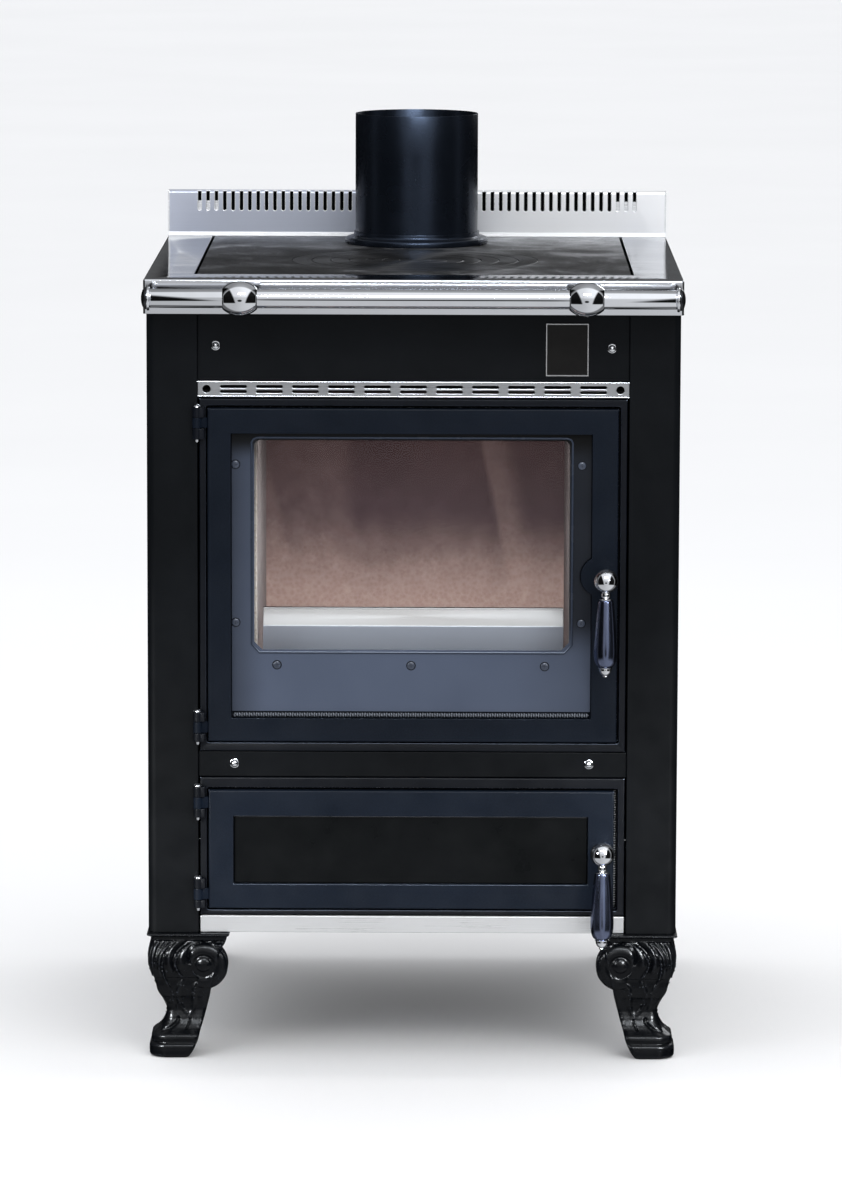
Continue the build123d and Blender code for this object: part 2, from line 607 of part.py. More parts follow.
with BuildPart() as glass_retainer_plate:
    with BuildSketch(front(29)) as plate_front:
        rect(-209.7, 206, 409, 733)
        with Locations(BOSS):
            Circle(24, mode=Mode.SUBTRACT)
    extrude(amount=3)
    with BuildSketch(front(29)) as window_front:
        rect(-183.6, 181, 481, 725.8)
        fillet(window_front.vertices().group_by(Axis.Y)[-1], radius=7)
        chamfer(window_front.vertices().group_by(Axis.Y)[0], length=9)
    extrude(amount=3, mode=Mode.SUBTRACT)
    with BuildSketch(front(29)) as plate_screw_holes:
        with Locations(*SCREWS):
            Circle(1.7)
    extrude(amount=3, mode=Mode.SUBTRACT)

with BuildPart() as retainer_screws:
    with BuildSketch(front(26)) as screw_heads:
        with Locations(*SCREWS):
            Circle(4.5)
    extrude(amount=1.8)
    chamfer(retainer_screws.edges().group_by(Axis.Y)[0], length=0.9)
    with BuildSketch(front(33)) as screw_shanks:
        with Locations(*SCREWS):
            Circle(1.6)
    extrude(amount=7.2)

with BuildPart() as door_glass:
    with BuildSketch(front(33.2)) as glass_outline:
        rect(-199, 189, 469, 730)
    extrude(amount=4)

with BuildPart() as glass_gasket:
    with BuildSketch(front(34.2)) as gasket_tape:
        rect(-199, 189, 469, 730)
        rect(-189, 185, 477, 728, mode=Mode.SUBTRACT)
    extrude(amount=1)
    # rope along the foot of the recess
    with BuildSketch(Plane.YZ.offset(-208)) as gasket_rope:
        with Locations((Y(26), 404.8)):
            Circle(2.8)
    extrude(amount=412)

# ----------------------------------------------------------------- ash door
with BuildPart() as ash_door_frame:
    with BuildSketch(front(SLAB_D1)) as ad_outline:
        rect(-237, 234.6, 176.5, 316)
    extrude(amount=SLAB_D1 - SLAB_D0)
    fillet(ash_door_frame.edges().group_by(Axis.Y)[0], radius=2)
    with BuildSketch(front(27)) as ad_recess:
        rect(-208.5, 204.8, 205, 286)
    extrude(amount=7, mode=Mode.SUBTRACT)
    with BuildSketch(front(SLAB_D1)) as ad_spindle_hole:
        with Locations(ASH_KNOB):
            Circle(SPINDLE_R + SPINDLE_RUN)
    extrude(amount=SLAB_D1 - SLAB_D0, mode=Mode.SUBTRACT)

with BuildPart() as ash_door_panel:
    with BuildSketch(front(27)) as adp_outline:
        rect(-207.9, 204.2, 205.6, 285.4)
    extrude(amount=3)
    chamfer(ash_door_panel.edges().group_by(Axis.Y)[0], length=1.2)

# ------------------------------------------------------------------ handles
# Each handle hangs from a chrome ball on a spindle through the door. Behind
# the frame's rim the spindle carries a tongue, which stands upright while the
# handle hangs and lies behind the rim when the handle is turned to one side.
TONGUE_D = 48.6
GRIP_PROFILE = (
    (0.0, -21.6), (7.8, -21.6), (9.0, -23.0), (10.2, -33.0), (11.5, -46.0), (12.6, -60.0), (13.5, -74.0),
    (13.7, -82.0), (13.4, -88.0), (12.2, -94.0), (10.6, -98.0), (9.0, -99.4), (0.0, -99.4), (0.0, -21.6),
)
HANDLES = []
for knob in (FIRE_KNOB, ASH_KNOB):
    kx, kz = knob
    with BuildPart() as spindle:
        with BuildSketch(front(TONGUE_D + 4)) as spindle_section:
            with Locations(knob):
                Circle(SPINDLE_R)
        extrude(amount=TONGUE_D + 4 - BALL_D)
        with BuildSketch(front(SLAB_D0 - 0.4)) as spindle_collar:
            with Locations(knob):
                Circle(8)
        extrude(amount=10)
        with BuildSketch(Plane.XZ.offset(-Y(BALL_D))) as ball_section:
            with BuildLine():
                Polyline((kx, kz - BALL_R), (kx, kz + BALL_R))
                ThreePointArc((kx, kz + BALL_R), (kx + BALL_R, kz), (kx, kz - BALL_R))
            make_face()
        revolve(axis=Axis((kx, Y(BALL_D), 0), (0, 0, 1)))
        # flats that key the tongue
        with BuildSketch(front(TONGUE_D + 4)) as spindle_flats:
            with Locations((kx - 4.5, kz), (kx + 4.5, kz)):
                Rectangle(3, 12)
        extrude(amount=4.4, mode=Mode.SUBTRACT)
    with BuildPart() as grip:
        with BuildSketch(Plane.XZ.offset(-Y(BALL_D))) as grip_section:
            with BuildLine():
                Polyline(*[(kx + r, kz + z) for r, z in GRIP_PROFILE])
            make_face()
        revolve(axis=Axis((kx, Y(BALL_D), 0), (0, 0, 1)))
    with BuildPart() as trim:
        with BuildSketch(Plane.XZ.offset(-Y(BALL_D))) as trim_section:
            with BuildLine():
                Polyline(
                    (kx, kz - BALL_R), (kx + 4.6, kz - BALL_R), (kx + 5.3, kz - 15.6), (kx + 5.3, kz - 18.6),
                    (kx + 4.4, kz - 20.2), (kx + 7.8, kz - 20.5), (kx + 7.8, kz - 21.6), (kx, kz - 21.6), (kx, kz - BALL_R),
                )
            make_face()
            with BuildLine():
                Polyline(
                    (kx, kz - 99.4), (kx + 6.6, kz - 99.4), (kx + 8.4, kz - 100.4), (kx + 8.4, kz - 101.6),
                    (kx + 7.4, kz - 102.2), (kx + 6.7, kz - 106.0), (kx + 4.8, kz - 109.4), (kx + 3.4, kz - 110.2),
                    (kx + 3.4, kz - 111.8), (kx + 2.2, kz - 112.8), (kx, kz - 112.8), (kx, kz - 99.4),
                )
            make_face()
        revolve(axis=Axis((kx, Y(BALL_D), 0), (0, 0, 1)))
    with BuildPart() as tongue:
        with BuildSketch(front(TONGUE_D + 4)) as tongue_section:
            with Locations((kx, kz + 3.5)):
                SlotOverall(24, 9.4, rotation=90)
            with Locations(knob):
                Rectangle(6.1, 9.02, mode=Mode.SUBTRACT)
        extrude(amount=4)
    HANDLES.append((spindle, grip, trim, tongue))

# ------------------------------------------------------------- air shutter
with BuildPart() as air_shutter:
    with BuildSketch(front(602.4)) as shutter_outline:
        rect(-80, 80, 202, 258)
        with Locations((-40, 230), (0, 230), (40, 230)):
            SlotOverall(40, 14, rotation=90, mode=Mode.SUBTRACT)
    extrude(amount=2)
    with BuildSketch(front(611)) as shutter_knob:
        with Locations((68, 230)):
            Circle(6)
    extrude(amount=8.6)

with BuildPart() as air_shutter_guides:
    with BuildSketch(Plane.YZ.offset(-105)) as guide_section:
        with BuildLine():
            Polyline(
                (Y(600), 198), (Y(600), 201.6), (Y(602.8), 201.6), (Y(602.8), 206),
                (Y(604.4), 206), (Y(604.4), 198), (Y(600), 198),
            )
        make_face()
        with BuildLine():
            Polyline(
                (Y(600), 262), (Y(600), 258.4), (Y(602.8), 258.4), (Y(602.8), 254),
                (Y(604.4), 254), (Y(604.4), 262), (Y(600), 262),
            )
        make_face()
    extrude(amount=210)

# ---------------------------------------------------------------- hand over
NODES = {
    "base_pan": base_pan, "left_side_panel": left_side_panel,
    "right_side_panel": right_side_panel, "rear_panel": rear_panel,
    "upper_fascia": upper_fascia, "badge_plate": badge_plate, "vent_strip": vent_strip,
    "lower_cross_panel": lower_cross_panel, "plinth_strip": plinth_strip,
    "panel_dome_nuts": panel_dome_nuts, "firebox_front_frame": firebox_front_frame,
    "ash_front_frame": ash_front_frame, "door_rope_seals": door_rope_seals,
    "firebox_shell": firebox_shell, "smoke_chamber": smoke_chamber,
    "hearth_brick": hearth_brick, "fire_grate": fire_grate,
    "vermiculite_back": vermiculite_back, "vermiculite_sides": vermiculite_sides,
    "baffle_plate": baffle_plate, "log_guard": log_guard, "ash_box": ash_box,
    "ash_pan": ash_pan, "hob_frame": hob_frame, "hob_plate": hob_plate,
    "hob_ring_outer": hob_ring_outer, "hob_ring_inner": hob_ring_inner,
    "hob_plug": hob_plug, "flue_collar": flue_collar, "flue_pipe": flue_pipe,
    "backsplash": backsplash, "towel_rail": towel_rail, "rail_end_caps": rail_end_caps,
    "rail_brackets": rail_brackets, "leg_front_left": leg_front_left,
    "leg_front_right": leg_front_right, "leg_rear_left": leg_rear_left,
    "leg_rear_right": leg_rear_right, "leg_bolts": leg_bolts,
    "hinge_lugs": hinge_lugs, "hinge_pins": hinge_pins,
    "firebox_hinge_arms": firebox_hinge_arms, "ash_hinge_arms": ash_hinge_arms,
    "firebox_door_frame": firebox_door_frame, "glass_retainer_plate": glass_retainer_plate,
    "retainer_screws": retainer_screws, "door_glass": door_glass,
    "glass_gasket": glass_gasket, "ash_door_frame": ash_door_frame,
    "ash_door_panel": ash_door_panel,
    "firebox_handle_spindle": HANDLES[0][0], "firebox_handle_grip": HANDLES[0][1],
    "firebox_handle_trim": HANDLES[0][2], "firebox_latch_tongue": HANDLES[0][3],
    "ash_handle_spindle": HANDLES[1][0], "ash_handle_grip": HANDLES[1][1],
    "ash_handle_trim": HANDLES[1][2], "ash_latch_tongue": HANDLES[1][3],
    "air_shutter": air_shutter, "air_shutter_guides": air_shutter_guides,
}
for name, piece in NODES.items():
    piece.part.label = name
    export_step(piece.part, f"parts/{name}.step")
print(len(NODES), "nodes")
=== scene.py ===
import bpy
import bmesh
import json
import math
import random
from mathutils import Vector, Matrix


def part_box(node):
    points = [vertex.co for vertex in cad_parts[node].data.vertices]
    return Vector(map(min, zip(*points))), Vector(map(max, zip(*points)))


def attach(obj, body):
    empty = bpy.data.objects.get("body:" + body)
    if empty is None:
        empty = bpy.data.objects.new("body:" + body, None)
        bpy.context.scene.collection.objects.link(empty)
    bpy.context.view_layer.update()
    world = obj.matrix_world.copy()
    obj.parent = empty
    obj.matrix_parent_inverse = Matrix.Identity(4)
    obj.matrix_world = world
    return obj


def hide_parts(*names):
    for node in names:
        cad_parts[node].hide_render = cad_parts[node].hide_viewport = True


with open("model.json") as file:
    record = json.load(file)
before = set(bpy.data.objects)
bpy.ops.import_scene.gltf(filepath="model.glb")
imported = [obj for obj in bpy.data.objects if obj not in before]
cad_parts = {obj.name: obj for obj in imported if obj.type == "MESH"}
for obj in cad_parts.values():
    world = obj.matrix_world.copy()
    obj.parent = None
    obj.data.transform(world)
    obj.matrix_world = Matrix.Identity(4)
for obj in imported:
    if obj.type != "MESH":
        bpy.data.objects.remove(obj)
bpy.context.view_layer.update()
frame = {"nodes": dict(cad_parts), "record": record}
nodes = frame["nodes"]
body_of_node = {n: b for b, ns in frame["record"]["behaviour"]["bodies"].items() for n in ns}
slot_of_node = {s["node"]: s["material_slot"] for s in frame["record"]["subparts"]}


def D(d):
    """Row y, in metres, of a point d millimetres behind the face of the hob band."""
    return (d - 276.0) / 1000.0


# ---------------------------------------------------------------------------
# material helpers
# ---------------------------------------------------------------------------
class Mat:
    """A node material with one principled shader and a few shorthands."""

    def __init__(self, name):
        self.m = bpy.data.materials.new(name)
        self.m.use_nodes = True
        self.t = self.m.node_tree
        self.t.nodes.clear()
        self.out = self.n("ShaderNodeOutputMaterial")
        self.b = self.n("ShaderNodeBsdfPrincipled")
        self.link(self.b.outputs[0], self.out.inputs["Surface"])
        self.coord = self.n("ShaderNodeTexCoord").outputs["Object"]

    def n(self, kind, **props):
        node = self.t.nodes.new(kind)
        for k, v in props.items():
            setattr(node, k, v)
        return node

    def link(self, a, b):
        self.t.links.new(a, b)

    def set(self, **vals):
        for k, v in vals.items():
            self.b.inputs[k.replace("_", " ")].default_value = v
        return self

    def mapped(self, scale=(1, 1, 1), rot=(0, 0, 0), loc=(0, 0, 0), src=None):
        m = self.n("ShaderNodeMapping")
        m.inputs["Scale"].default_value = scale
        m.inputs["Rotation"].default_value = rot
        m.inputs["Location"].default_value = loc
        self.link(src or self.coord, m.inputs["Vector"])
        return m.outputs[0]

    def noise(self, scale, detail=4.0, rough=0.55, vec=None, distortion=0.0):
        t = self.n("ShaderNodeTexNoise")
        t.inputs["Scale"].default_value = scale
        t.inputs["Detail"].default_value = detail
        t.inputs["Roughness"].default_value = rough
        t.inputs["Distortion"].default_value = distortion
        self.link(vec or self.coord, t.inputs["Vector"])
        return t.outputs["Fac"]

    def voronoi(self, scale, vec=None, feature="F1", out="Distance"):
        t = self.n("ShaderNodeTexVoronoi", feature=feature)
        t.inputs["Scale"].default_value = scale
        self.link(vec or self.coord, t.inputs["Vector"])
        return t.outputs[out]

    def ramp(self, fac, stops, interp="LINEAR"):
        r = self.n("ShaderNodeValToRGB")
        r.color_ramp.interpolation = interp
        el = r.color_ramp.elements
        while len(el) < len(stops):
            el.new(0.5)
        for e, (p, c) in zip(el, stops):
            e.position = p
            e.color = (*c, 1) if isinstance(c, tuple) else (c, c, c, 1)
        self.link(fac, r.inputs["Fac"])
        return r.outputs["Color"]

    def math(self, op, a, b=None, clamp=False):
        m = self.n("ShaderNodeMath", operation=op, use_clamp=clamp)
        for i, v in enumerate((a, b)):
            if v is None:
                continue
            if isinstance(v, (int, float)):
                m.inputs[i].default_value = v
            else:
                self.link(v, m.inputs[i])
        return m.outputs[0]

    def mix(self, fac, a, b, kind="MIX"):
        m = self.n("ShaderNodeMix", data_type="RGBA", blend_type=kind)
        for sock, v in ((m.inputs[0], fac), (m.inputs[6], a), (m.inputs[7], b)):
            if isinstance(v, (int, float)):
                sock.default_value = v
            elif isinstance(v, tuple):
                sock.default_value = (*v, 1)
            else:
                self.link(v, sock)
        return m.outputs[2]

    def maprange(self, v, a, b, c, d, smooth=False):
        m = self.n("ShaderNodeMapRange", interpolation_type="SMOOTHSTEP" if smooth else "LINEAR")
        m.inputs["From Min"].default_value = a
        m.inputs["From Max"].default_value = b
        m.inputs["To Min"].default_value = c
        m.inputs["To Max"].default_value = d
        self.link(v, m.inputs["Value"])
        return m.outputs[0]

    def axis(self, which, vec=None):
        s = self.n("ShaderNodeSeparateXYZ")
        self.link(vec or self.coord, s.inputs[0])
        return s.outputs["XYZ".index(which)]

    def edge(self, lo=0.53, hi=0.62):
        g = self.n("ShaderNodeNewGeometry")
        return self.maprange(g.outputs["Pointiness"], lo, hi, 0.0, 1.0)

    def color(self, c):
        if isinstance(c, tuple):
            self.b.inputs["Base Color"].default_value = (*c, 1)
        else:
            self.link(c, self.b.inputs["Base Color"])
        return self

    def rough(self, v):
        if isinstance(v, (int, float)):
            self.b.inputs["Roughness"].default_value = v
        else:
            self.link(v, self.b.inputs["Roughness"])
        return self

    def bump(self, height, strength, dist=0.001, chain=None):
        b = self.n("ShaderNodeBump")
        b.inputs["Strength"].default_value = strength
        b.inputs["Distance"].default_value = dist
        self.link(height, b.inputs["Height"])
        if chain is not None:
            self.link(chain, b.inputs["Normal"])
        self.link(b.outputs[0], self.b.inputs["Normal"])
        return b.outputs[0]


def painted(name, dark, light, rough=(0.35, 0.5), spec=0.3, grain=900, grain_s=0.12, edge_wear_and_highlight=None, coat=0.0, tone=(), metal=0.0, up=None, painted_highlight_below=None):
    """Stove paint over sheet or casting: fine grain, patchy sheen, lighter worn edges that also serve as painted
    highlights on ridges.
    tone: (axis, from, to, times at from, times at to, in full only above this height) steps that deepen or lift the
    paint along the part: painted shade and painted light. up: a lighter tone on faces that look up, a painted
    highlight."""
    m = Mat(name)
    big = m.noise(7, 3)
    fine = m.noise(grain, 3, 0.6)
    c = m.mix(m.maprange(big, 0.3, 0.7, 0, 1), dark, light)
    c = m.mix(m.maprange(fine, 0.35, 0.75, 0, 0.25), c, tuple(min(1, v * 2.2) for v in light))
    # tone steps: painted shade where a step darkens the paint, painted light where it lifts it
    for which, a, b, ta, tb, *above in tone:
        t = m.maprange(m.axis(which), a, b, ta, tb, True)
        if above:
            k = m.maprange(m.axis("Z"), above[0] - 0.02, above[0] + 0.03, 0.25, 1, True)
            t = m.math("ADD", 1.0, m.math("MULTIPLY", k, m.math("SUBTRACT", t, 1.0)))
        g = m.n("ShaderNodeCombineXYZ")
        for i in range(3):
            m.link(t, g.inputs[i])
        c = m.mix(1.0, c, g.outputs[0], "MULTIPLY")
    # faces that look up take a lighter tone of their own: a painted highlight, cut off above a given height when one is
    # given
    if up:
        painted_light_up_mask = m.maprange(m.axis("Z", m.n("ShaderNodeNewGeometry").outputs["Normal"]), 0.25, 0.75, 0, 1, True)
        if painted_highlight_below:
            painted_light_up_mask = m.math("MULTIPLY", painted_light_up_mask, m.maprange(m.axis("Z"), painted_highlight_below, painted_highlight_below + 0.02, 1, 0, True))
        c = m.mix(painted_light_up_mask, c, up)
    # worn edges: convex edges lightened in patches, partly real rubbing and partly a painted highlight on the ridges
    if edge_wear_and_highlight:
        worn = m.math("MULTIPLY", m.edge(0.515, 0.58), m.maprange(m.noise(260, 4, 0.7), 0.42, 0.62, 0, 1))
        c = m.mix(m.math("MULTIPLY", worn, edge_wear_and_highlight[1]), c, edge_wear_and_highlight[0])
    m.color(c)
    m.rough(m.maprange(m.noise(28, 4), 0.3, 0.7, *rough))
    m.bump(fine, grain_s, 0.0004)
    m.set(Specular_IOR_Level=spec, Coat_Weight=coat, Coat_Roughness=0.12, Metallic=metal)
    return m.m


def brushed(name, tint=(0.62, 0.63, 0.65), rough=(0.26, 0.36), along="X", aniso=0.55, streak=0.18, blotch=0.2, bump=0.10, metal=1.0, tone=None, up=None):
    """Brushed stainless: fine streaks along one axis, slow changes in tone; tone lightens it along one axis as painted
    light, up darkens faces that look up as painted shade.
    """
    m = Mat(name)
    sc = {"X": (6, 900, 900), "Y": (900, 6, 900), "Z": (900, 900, 6)}[along]
    lines = m.noise(1.0, 5, 0.65, m.mapped(sc))
    slow = m.noise(5, 3)
    base = m.mix(m.maprange(lines, 0.3, 0.7, 0, streak), tint, tuple(v * 0.72 for v in tint))
    base = m.mix(m.maprange(slow, 0.3, 0.7, 0, blotch), base, tuple(min(1, v * 1.25) for v in tint))
    # painted light: the steel lightened towards one end of an axis
    if tone:
        which, a, b, other = tone
        base = m.mix(m.maprange(m.axis(which), a, b, 0, 1, True), base, other)
    # painted shade: faces that look up take a darker tone of their own
    if up:
        painted_light_up_mask = m.axis("Z", m.n("ShaderNodeNewGeometry").outputs["Normal"])
        base = m.mix(m.maprange(painted_light_up_mask, 0.15, 0.55, 0, 1, True), base, up)
    m.color(base)
    r = m.math("ADD", m.maprange(lines, 0.3, 0.7, rough[0], rough[1]), m.maprange(m.noise(14, 3), 0.3, 0.7, -0.03, 0.03))
    m.rough(r)
    m.bump(lines, bump, 0.0003)
    m.set(Metallic=metal, Anisotropic=aniso)
    return m.m


def polished(name, tint=(0.72, 0.73, 0.76), rough=(0.06, 0.13)):
    """Polished stainless: near mirror, with hairline scratches and wiped smears."""
    m = Mat(name)
    a = m.noise(1.0, 4, 0.6, m.mapped((14, 700, 700), rot=(0, 0, 0.05)))
    smear = m.noise(9, 4, 0.6, m.mapped((1, 2.2, 1)))
    c = m.mix(m.maprange(smear, 0.35, 0.7, 0, 0.35), tint, tuple(v * 0.86 for v in tint))
    # painted shade: faces that look up are darkened, so the flat tops mirror less
    g = m.n("ShaderNodeNewGeometry")
    up = m.maprange(m.axis("Z", g.outputs["Normal"]), 0.90, 0.99, 0, 1)
    c = m.mix(up, c, (0.190, 0.204, 0.242))
    m.color(c)
    m.rough(m.math("ADD", m.maprange(smear, 0.3, 0.7, rough[0], rough[1]), m.maprange(a, 0.55, 0.8, 0, 0.05)))
    m.bump(a, 0.008, 0.0002)
    m.set(Metallic=1.0)
    return m.m


def chrome(name, tint=(0.78, 0.79, 0.82)):
    m = Mat(name)
    smear = m.noise(60, 4, 0.6)
    m.color(m.mix(m.maprange(smear, 0.4, 0.7, 0, 0.3), tint, tuple(v * 0.9 for v in tint)))
    m.rough(m.maprange(smear, 0.3, 0.75, 0.02, 0.055))
    m.bump(m.noise(35, 2), 0.012, 0.0004)
    m.set(Metallic=1.0)
    return m.m


# ---------------------------------------------------------------------------
# materials of the stove
# ---------------------------------------------------------------------------
MATS = {}
MATS["casing_paint"] = painted("casing_black_satin", (0.0024, 0.0030, 0.0038), (0.0042, 0.0052, 0.0068), rough=(0.36, 0.48), spec=0.09, grain=1100, grain_s=0.07)
# painted light: the door castings' paint is lifted 1.6 times below 0.30 m, for the floor the lower castings mirror
MATS["frame_cast_iron"] = painted("door_casting_blue_black", (0.0028, 0.0050, 0.0096), (0.0048, 0.0080, 0.0148), rough=(0.36, 0.48), spec=0.10, grain=520, grain_s=0.16,
                                  tone=(("Z", 0.30, 0.42, 1.6, 1.0),))
MOUTH_MAT = painted("mouth_casting_black", (0.0020, 0.0029, 0.0052), (0.0036, 0.0050, 0.0090), rough=(0.34, 0.44), spec=0.16, grain=520, grain_s=0.2)
# eased edges of the door castings: patchy rubbed metal, with a painted highlight on the faces that look up
MATS["frame_edge"] = painted("door_casting_rubbed_edge_and_highlight", (0.008, 0.011, 0.018), (0.030, 0.037, 0.055), rough=(0.24, 0.34), spec=0.5, grain=240, grain_s=0.3, metal=0.4, up=(0.42, 0.50, 0.66))
# painted shade: the slate darkened towards the right above the window's foot, along the left strip, in a band along the
# top under the recess lip, and gently upwards
MATS["retainer_paint"] = painted("retainer_slate_painted_shade", (0.054, 0.068, 0.103), (0.067, 0.084, 0.126), rough=(0.34, 0.44), spec=0.18, grain=1200, grain_s=0.05,
                                 tone=(("X", 0.090, 0.188, 1.0, 0.14, 0.49), ("X", -0.206, -0.165, 0.58, 1.0), ("Z", 0.700, 0.727, 1.0, 0.05), ("Z", 0.52, 0.74, 1.0, 0.80)))
# painted highlight: the bead's faces that look up take a pale tone, on its lower run only
BEAD_MAT = painted("retainer_bead_slate_painted_highlight", (0.022, 0.028, 0.042), (0.030, 0.038, 0.056), rough=(0.22, 0.30), spec=0.08, grain=1200, grain_s=0.05, up=(0.27, 0.32, 0.41), painted_highlight_below=0.49)
# painted highlight: faces that look up, the top chamfer among them, take a paler tone
MATS["panel_gloss_black"] = painted("inset_panel_black", (0.0030, 0.0036, 0.0040), (0.0050, 0.0058, 0.0066), rough=(0.26, 0.36), spec=0.10, grain=900, grain_s=0.04, up=(0.30, 0.31, 0.34))
# worn edges on the legs: partly rubbing, partly a painted highlight on the ridges
MATS["leg_cast_iron"] = painted("leg_casting_black", (0.0010, 0.0013, 0.0020), (0.0020, 0.0026, 0.0040), rough=(0.23, 0.31), spec=0.17, grain=420, grain_s=0.04, edge_wear_and_highlight=((0.16, 0.18, 0.23), 0.16))
MATS["flue_black"] = painted("flue_satin_black", (0.020, 0.027, 0.042), (0.027, 0.035, 0.052), rough=(0.25, 0.30), spec=0.4, grain=1400, grain_s=0.05, metal=0.9)
MATS["brushed_stainless"] = brushed("stainless_brushed", (0.70, 0.71, 0.73))
# painted light: the upstand is lightened towards the right
BACKSPLASH_MAT = brushed("stainless_upstand", (0.50, 0.53, 0.62), rough=(0.30, 0.38), bump=0.03, blotch=0.35, metal=0.4, tone=("X", -0.10, 0.16, (0.98, 0.985, 1.0)))
# a paler copy of the upstand steel: a painted highlight on the slot rims, also put on the trims
SLOT_EDGE_HIGHLIGHT = brushed("stainless_slot_highlight", (0.93, 0.94, 0.96), rough=(0.22, 0.3), bump=0.02, metal=0.3)
# painted shade: faces that look up, the top flange among them, take a duller neutral tone
GUARD_MAT = brushed("stainless_guard", (0.60, 0.66, 0.76), rough=(0.34, 0.44), bump=0.04, metal=0.40, up=(0.41, 0.41, 0.405))
# painted shade: the top of the hem, looking up, is painted near black
HEM_MAT = brushed("stainless_hem", (0.88, 0.89, 0.90), rough=(0.26, 0.34), bump=0.02, metal=0.3, up=(0.012, 0.011, 0.011))
PLINTH_MAT = brushed("stainless_plinth", (0.70, 0.705, 0.71), rough=(0.26, 0.36), bump=0.06, metal=0.35)
MATS["polished_stainless"] = polished("stainless_polished")
MATS["chrome"] = chrome("chrome_plate")
MATS["hinge_steel"] = chrome("hinge_steel", (0.62, 0.63, 0.66))
MATS["plate_steel"] = painted("inner_steel", (0.016, 0.015, 0.016), (0.032, 0.030, 0.030), rough=(0.5, 0.7), spec=0.3, grain=300, grain_s=0.3)
MATS["grate_cast_iron"] = painted("grate_casting", (0.02, 0.019, 0.018), (0.045, 0.042, 0.04), rough=(0.6, 0.8), spec=0.3, grain=350, grain_s=0.45)
# painted reflection: the rail's end domes are chrome painted near black, for the dark room they mirror
CAP_DARK_REFLECTION_MAT = painted("cap_chrome_painted_dark_reflection", (0.030, 0.031, 0.034), (0.050, 0.052, 0.057), rough=(0.10, 0.18), spec=0.5, grain=500, grain_s=0.04, metal=0.9)
SCREW_MAT = painted("screw_slate", (0.030, 0.038, 0.058), (0.044, 0.055, 0.082), rough=(0.28, 0.38), spec=0.45, grain=900, grain_s=0.08)
# painted shade: the inside of the upstand's channel is painted near black, for the shade behind the slots
CHANNEL_SHADE_BLACK = painted("channel_inside_painted_shade", (0.0016, 0.0016, 0.0018), (0.003, 0.003, 0.0034), rough=(0.6, 0.75), spec=0.08, grain=600, grain_s=0.1)


def make_badge():
    m = Mat("badge_bronze")
    n = m.noise(40, 3)
    x, z = m.axis("X"), m.axis("Z")
    # thin bright rim round a dark brown-black field
    dx = m.math("ABSOLUTE", m.math("SUBTRACT", x, 0.177))
    dz = m.math("ABSOLUTE", m.math("SUBTRACT", z, 0.83135))
    rim = m.math("MAXIMUM", m.math("SUBTRACT", dx, 0.0234), m.math("SUBTRACT", dz, 0.02925))
    rim = m.maprange(rim, -0.0001, 0.0001, 0, 1)
    field = m.mix(m.maprange(n, 0.3, 0.7, 0, 1), (0.0042, 0.0038, 0.0036), (0.0070, 0.0064, 0.0060))
    m.color(m.mix(rim, field, (0.66, 0.66, 0.67)))
    m.rough(m.maprange(rim, 0, 1, 0.34, 0.22))
    met = m.maprange(rim, 0, 1, 0.0, 0.7)
    m.link(met, m.b.inputs["Metallic"])
    m.set(Specular_IOR_Level=0.2)
    m.bump(m.noise(1.0, 4, 0.6, m.mapped((8, 8, 900))), 0.05, 0.0002)
    return m.m


MATS["badge_bronze"] = make_badge()


def make_hob():
    """Cast iron plate, oiled and worn: near black with grey scuffs; greyer towards the back right as a painted sheen.
    """
    m = Mat("hob_ground_iron")
    x, y = m.axis("X"), m.axis("Y")
    patch = m.noise(11, 7, 0.64, m.mapped((1, 0.8, 1), rot=(0, 0, 0.5)), 0.8)
    patch2 = m.noise(38, 5, 0.65)
    grain = m.noise(460, 3, 0.6)
    scuff = m.noise(1.0, 5, 0.7, m.mapped((150, 18, 1), rot=(0, 0, 0.35)))
    # painted sheen: the plate lightened towards the back right
    painted_sheen_lean = m.math("ADD", m.maprange(x, -0.24, 0.24, -0.03, 0.09), m.maprange(y, -0.05, 0.30, -0.02, 0.08))
    f = m.math("ADD", patch, painted_sheen_lean)
    col = m.ramp(f, [(0.36, (0.0036, 0.0036, 0.0037)), (0.48, (0.011, 0.011, 0.0112)), (0.58, (0.042, 0.043, 0.046)), (0.72, (0.19, 0.194, 0.206))])
    col = m.mix(m.maprange(patch2, 0.38, 0.66, 0, 0.75), col, (0.008, 0.0078, 0.0076))
    col = m.mix(m.math("MULTIPLY", m.maprange(scuff, 0.58, 0.74, 0, 0.5), m.maprange(f, 0.40, 0.62, 0.15, 1)), col, (0.22, 0.225, 0.24))
    col = m.mix(m.maprange(grain, 0.60, 0.78, 0, 0.28), col, (0.16, 0.163, 0.17))
    m.color(col)
    m.rough(m.math("ADD", m.maprange(f, 0.3, 0.75, 0.52, 0.36), m.maprange(grain, 0.3, 0.7, -0.03, 0.05)))
    n1 = m.bump(scuff, 0.12, 0.0004)
    m.bump(grain, 0.10, 0.0005, n1)
    m.set(Metallic=0.25, Specular_IOR_Level=0.28)
    return m.m


MATS["hob_cast_iron"] = make_hob()


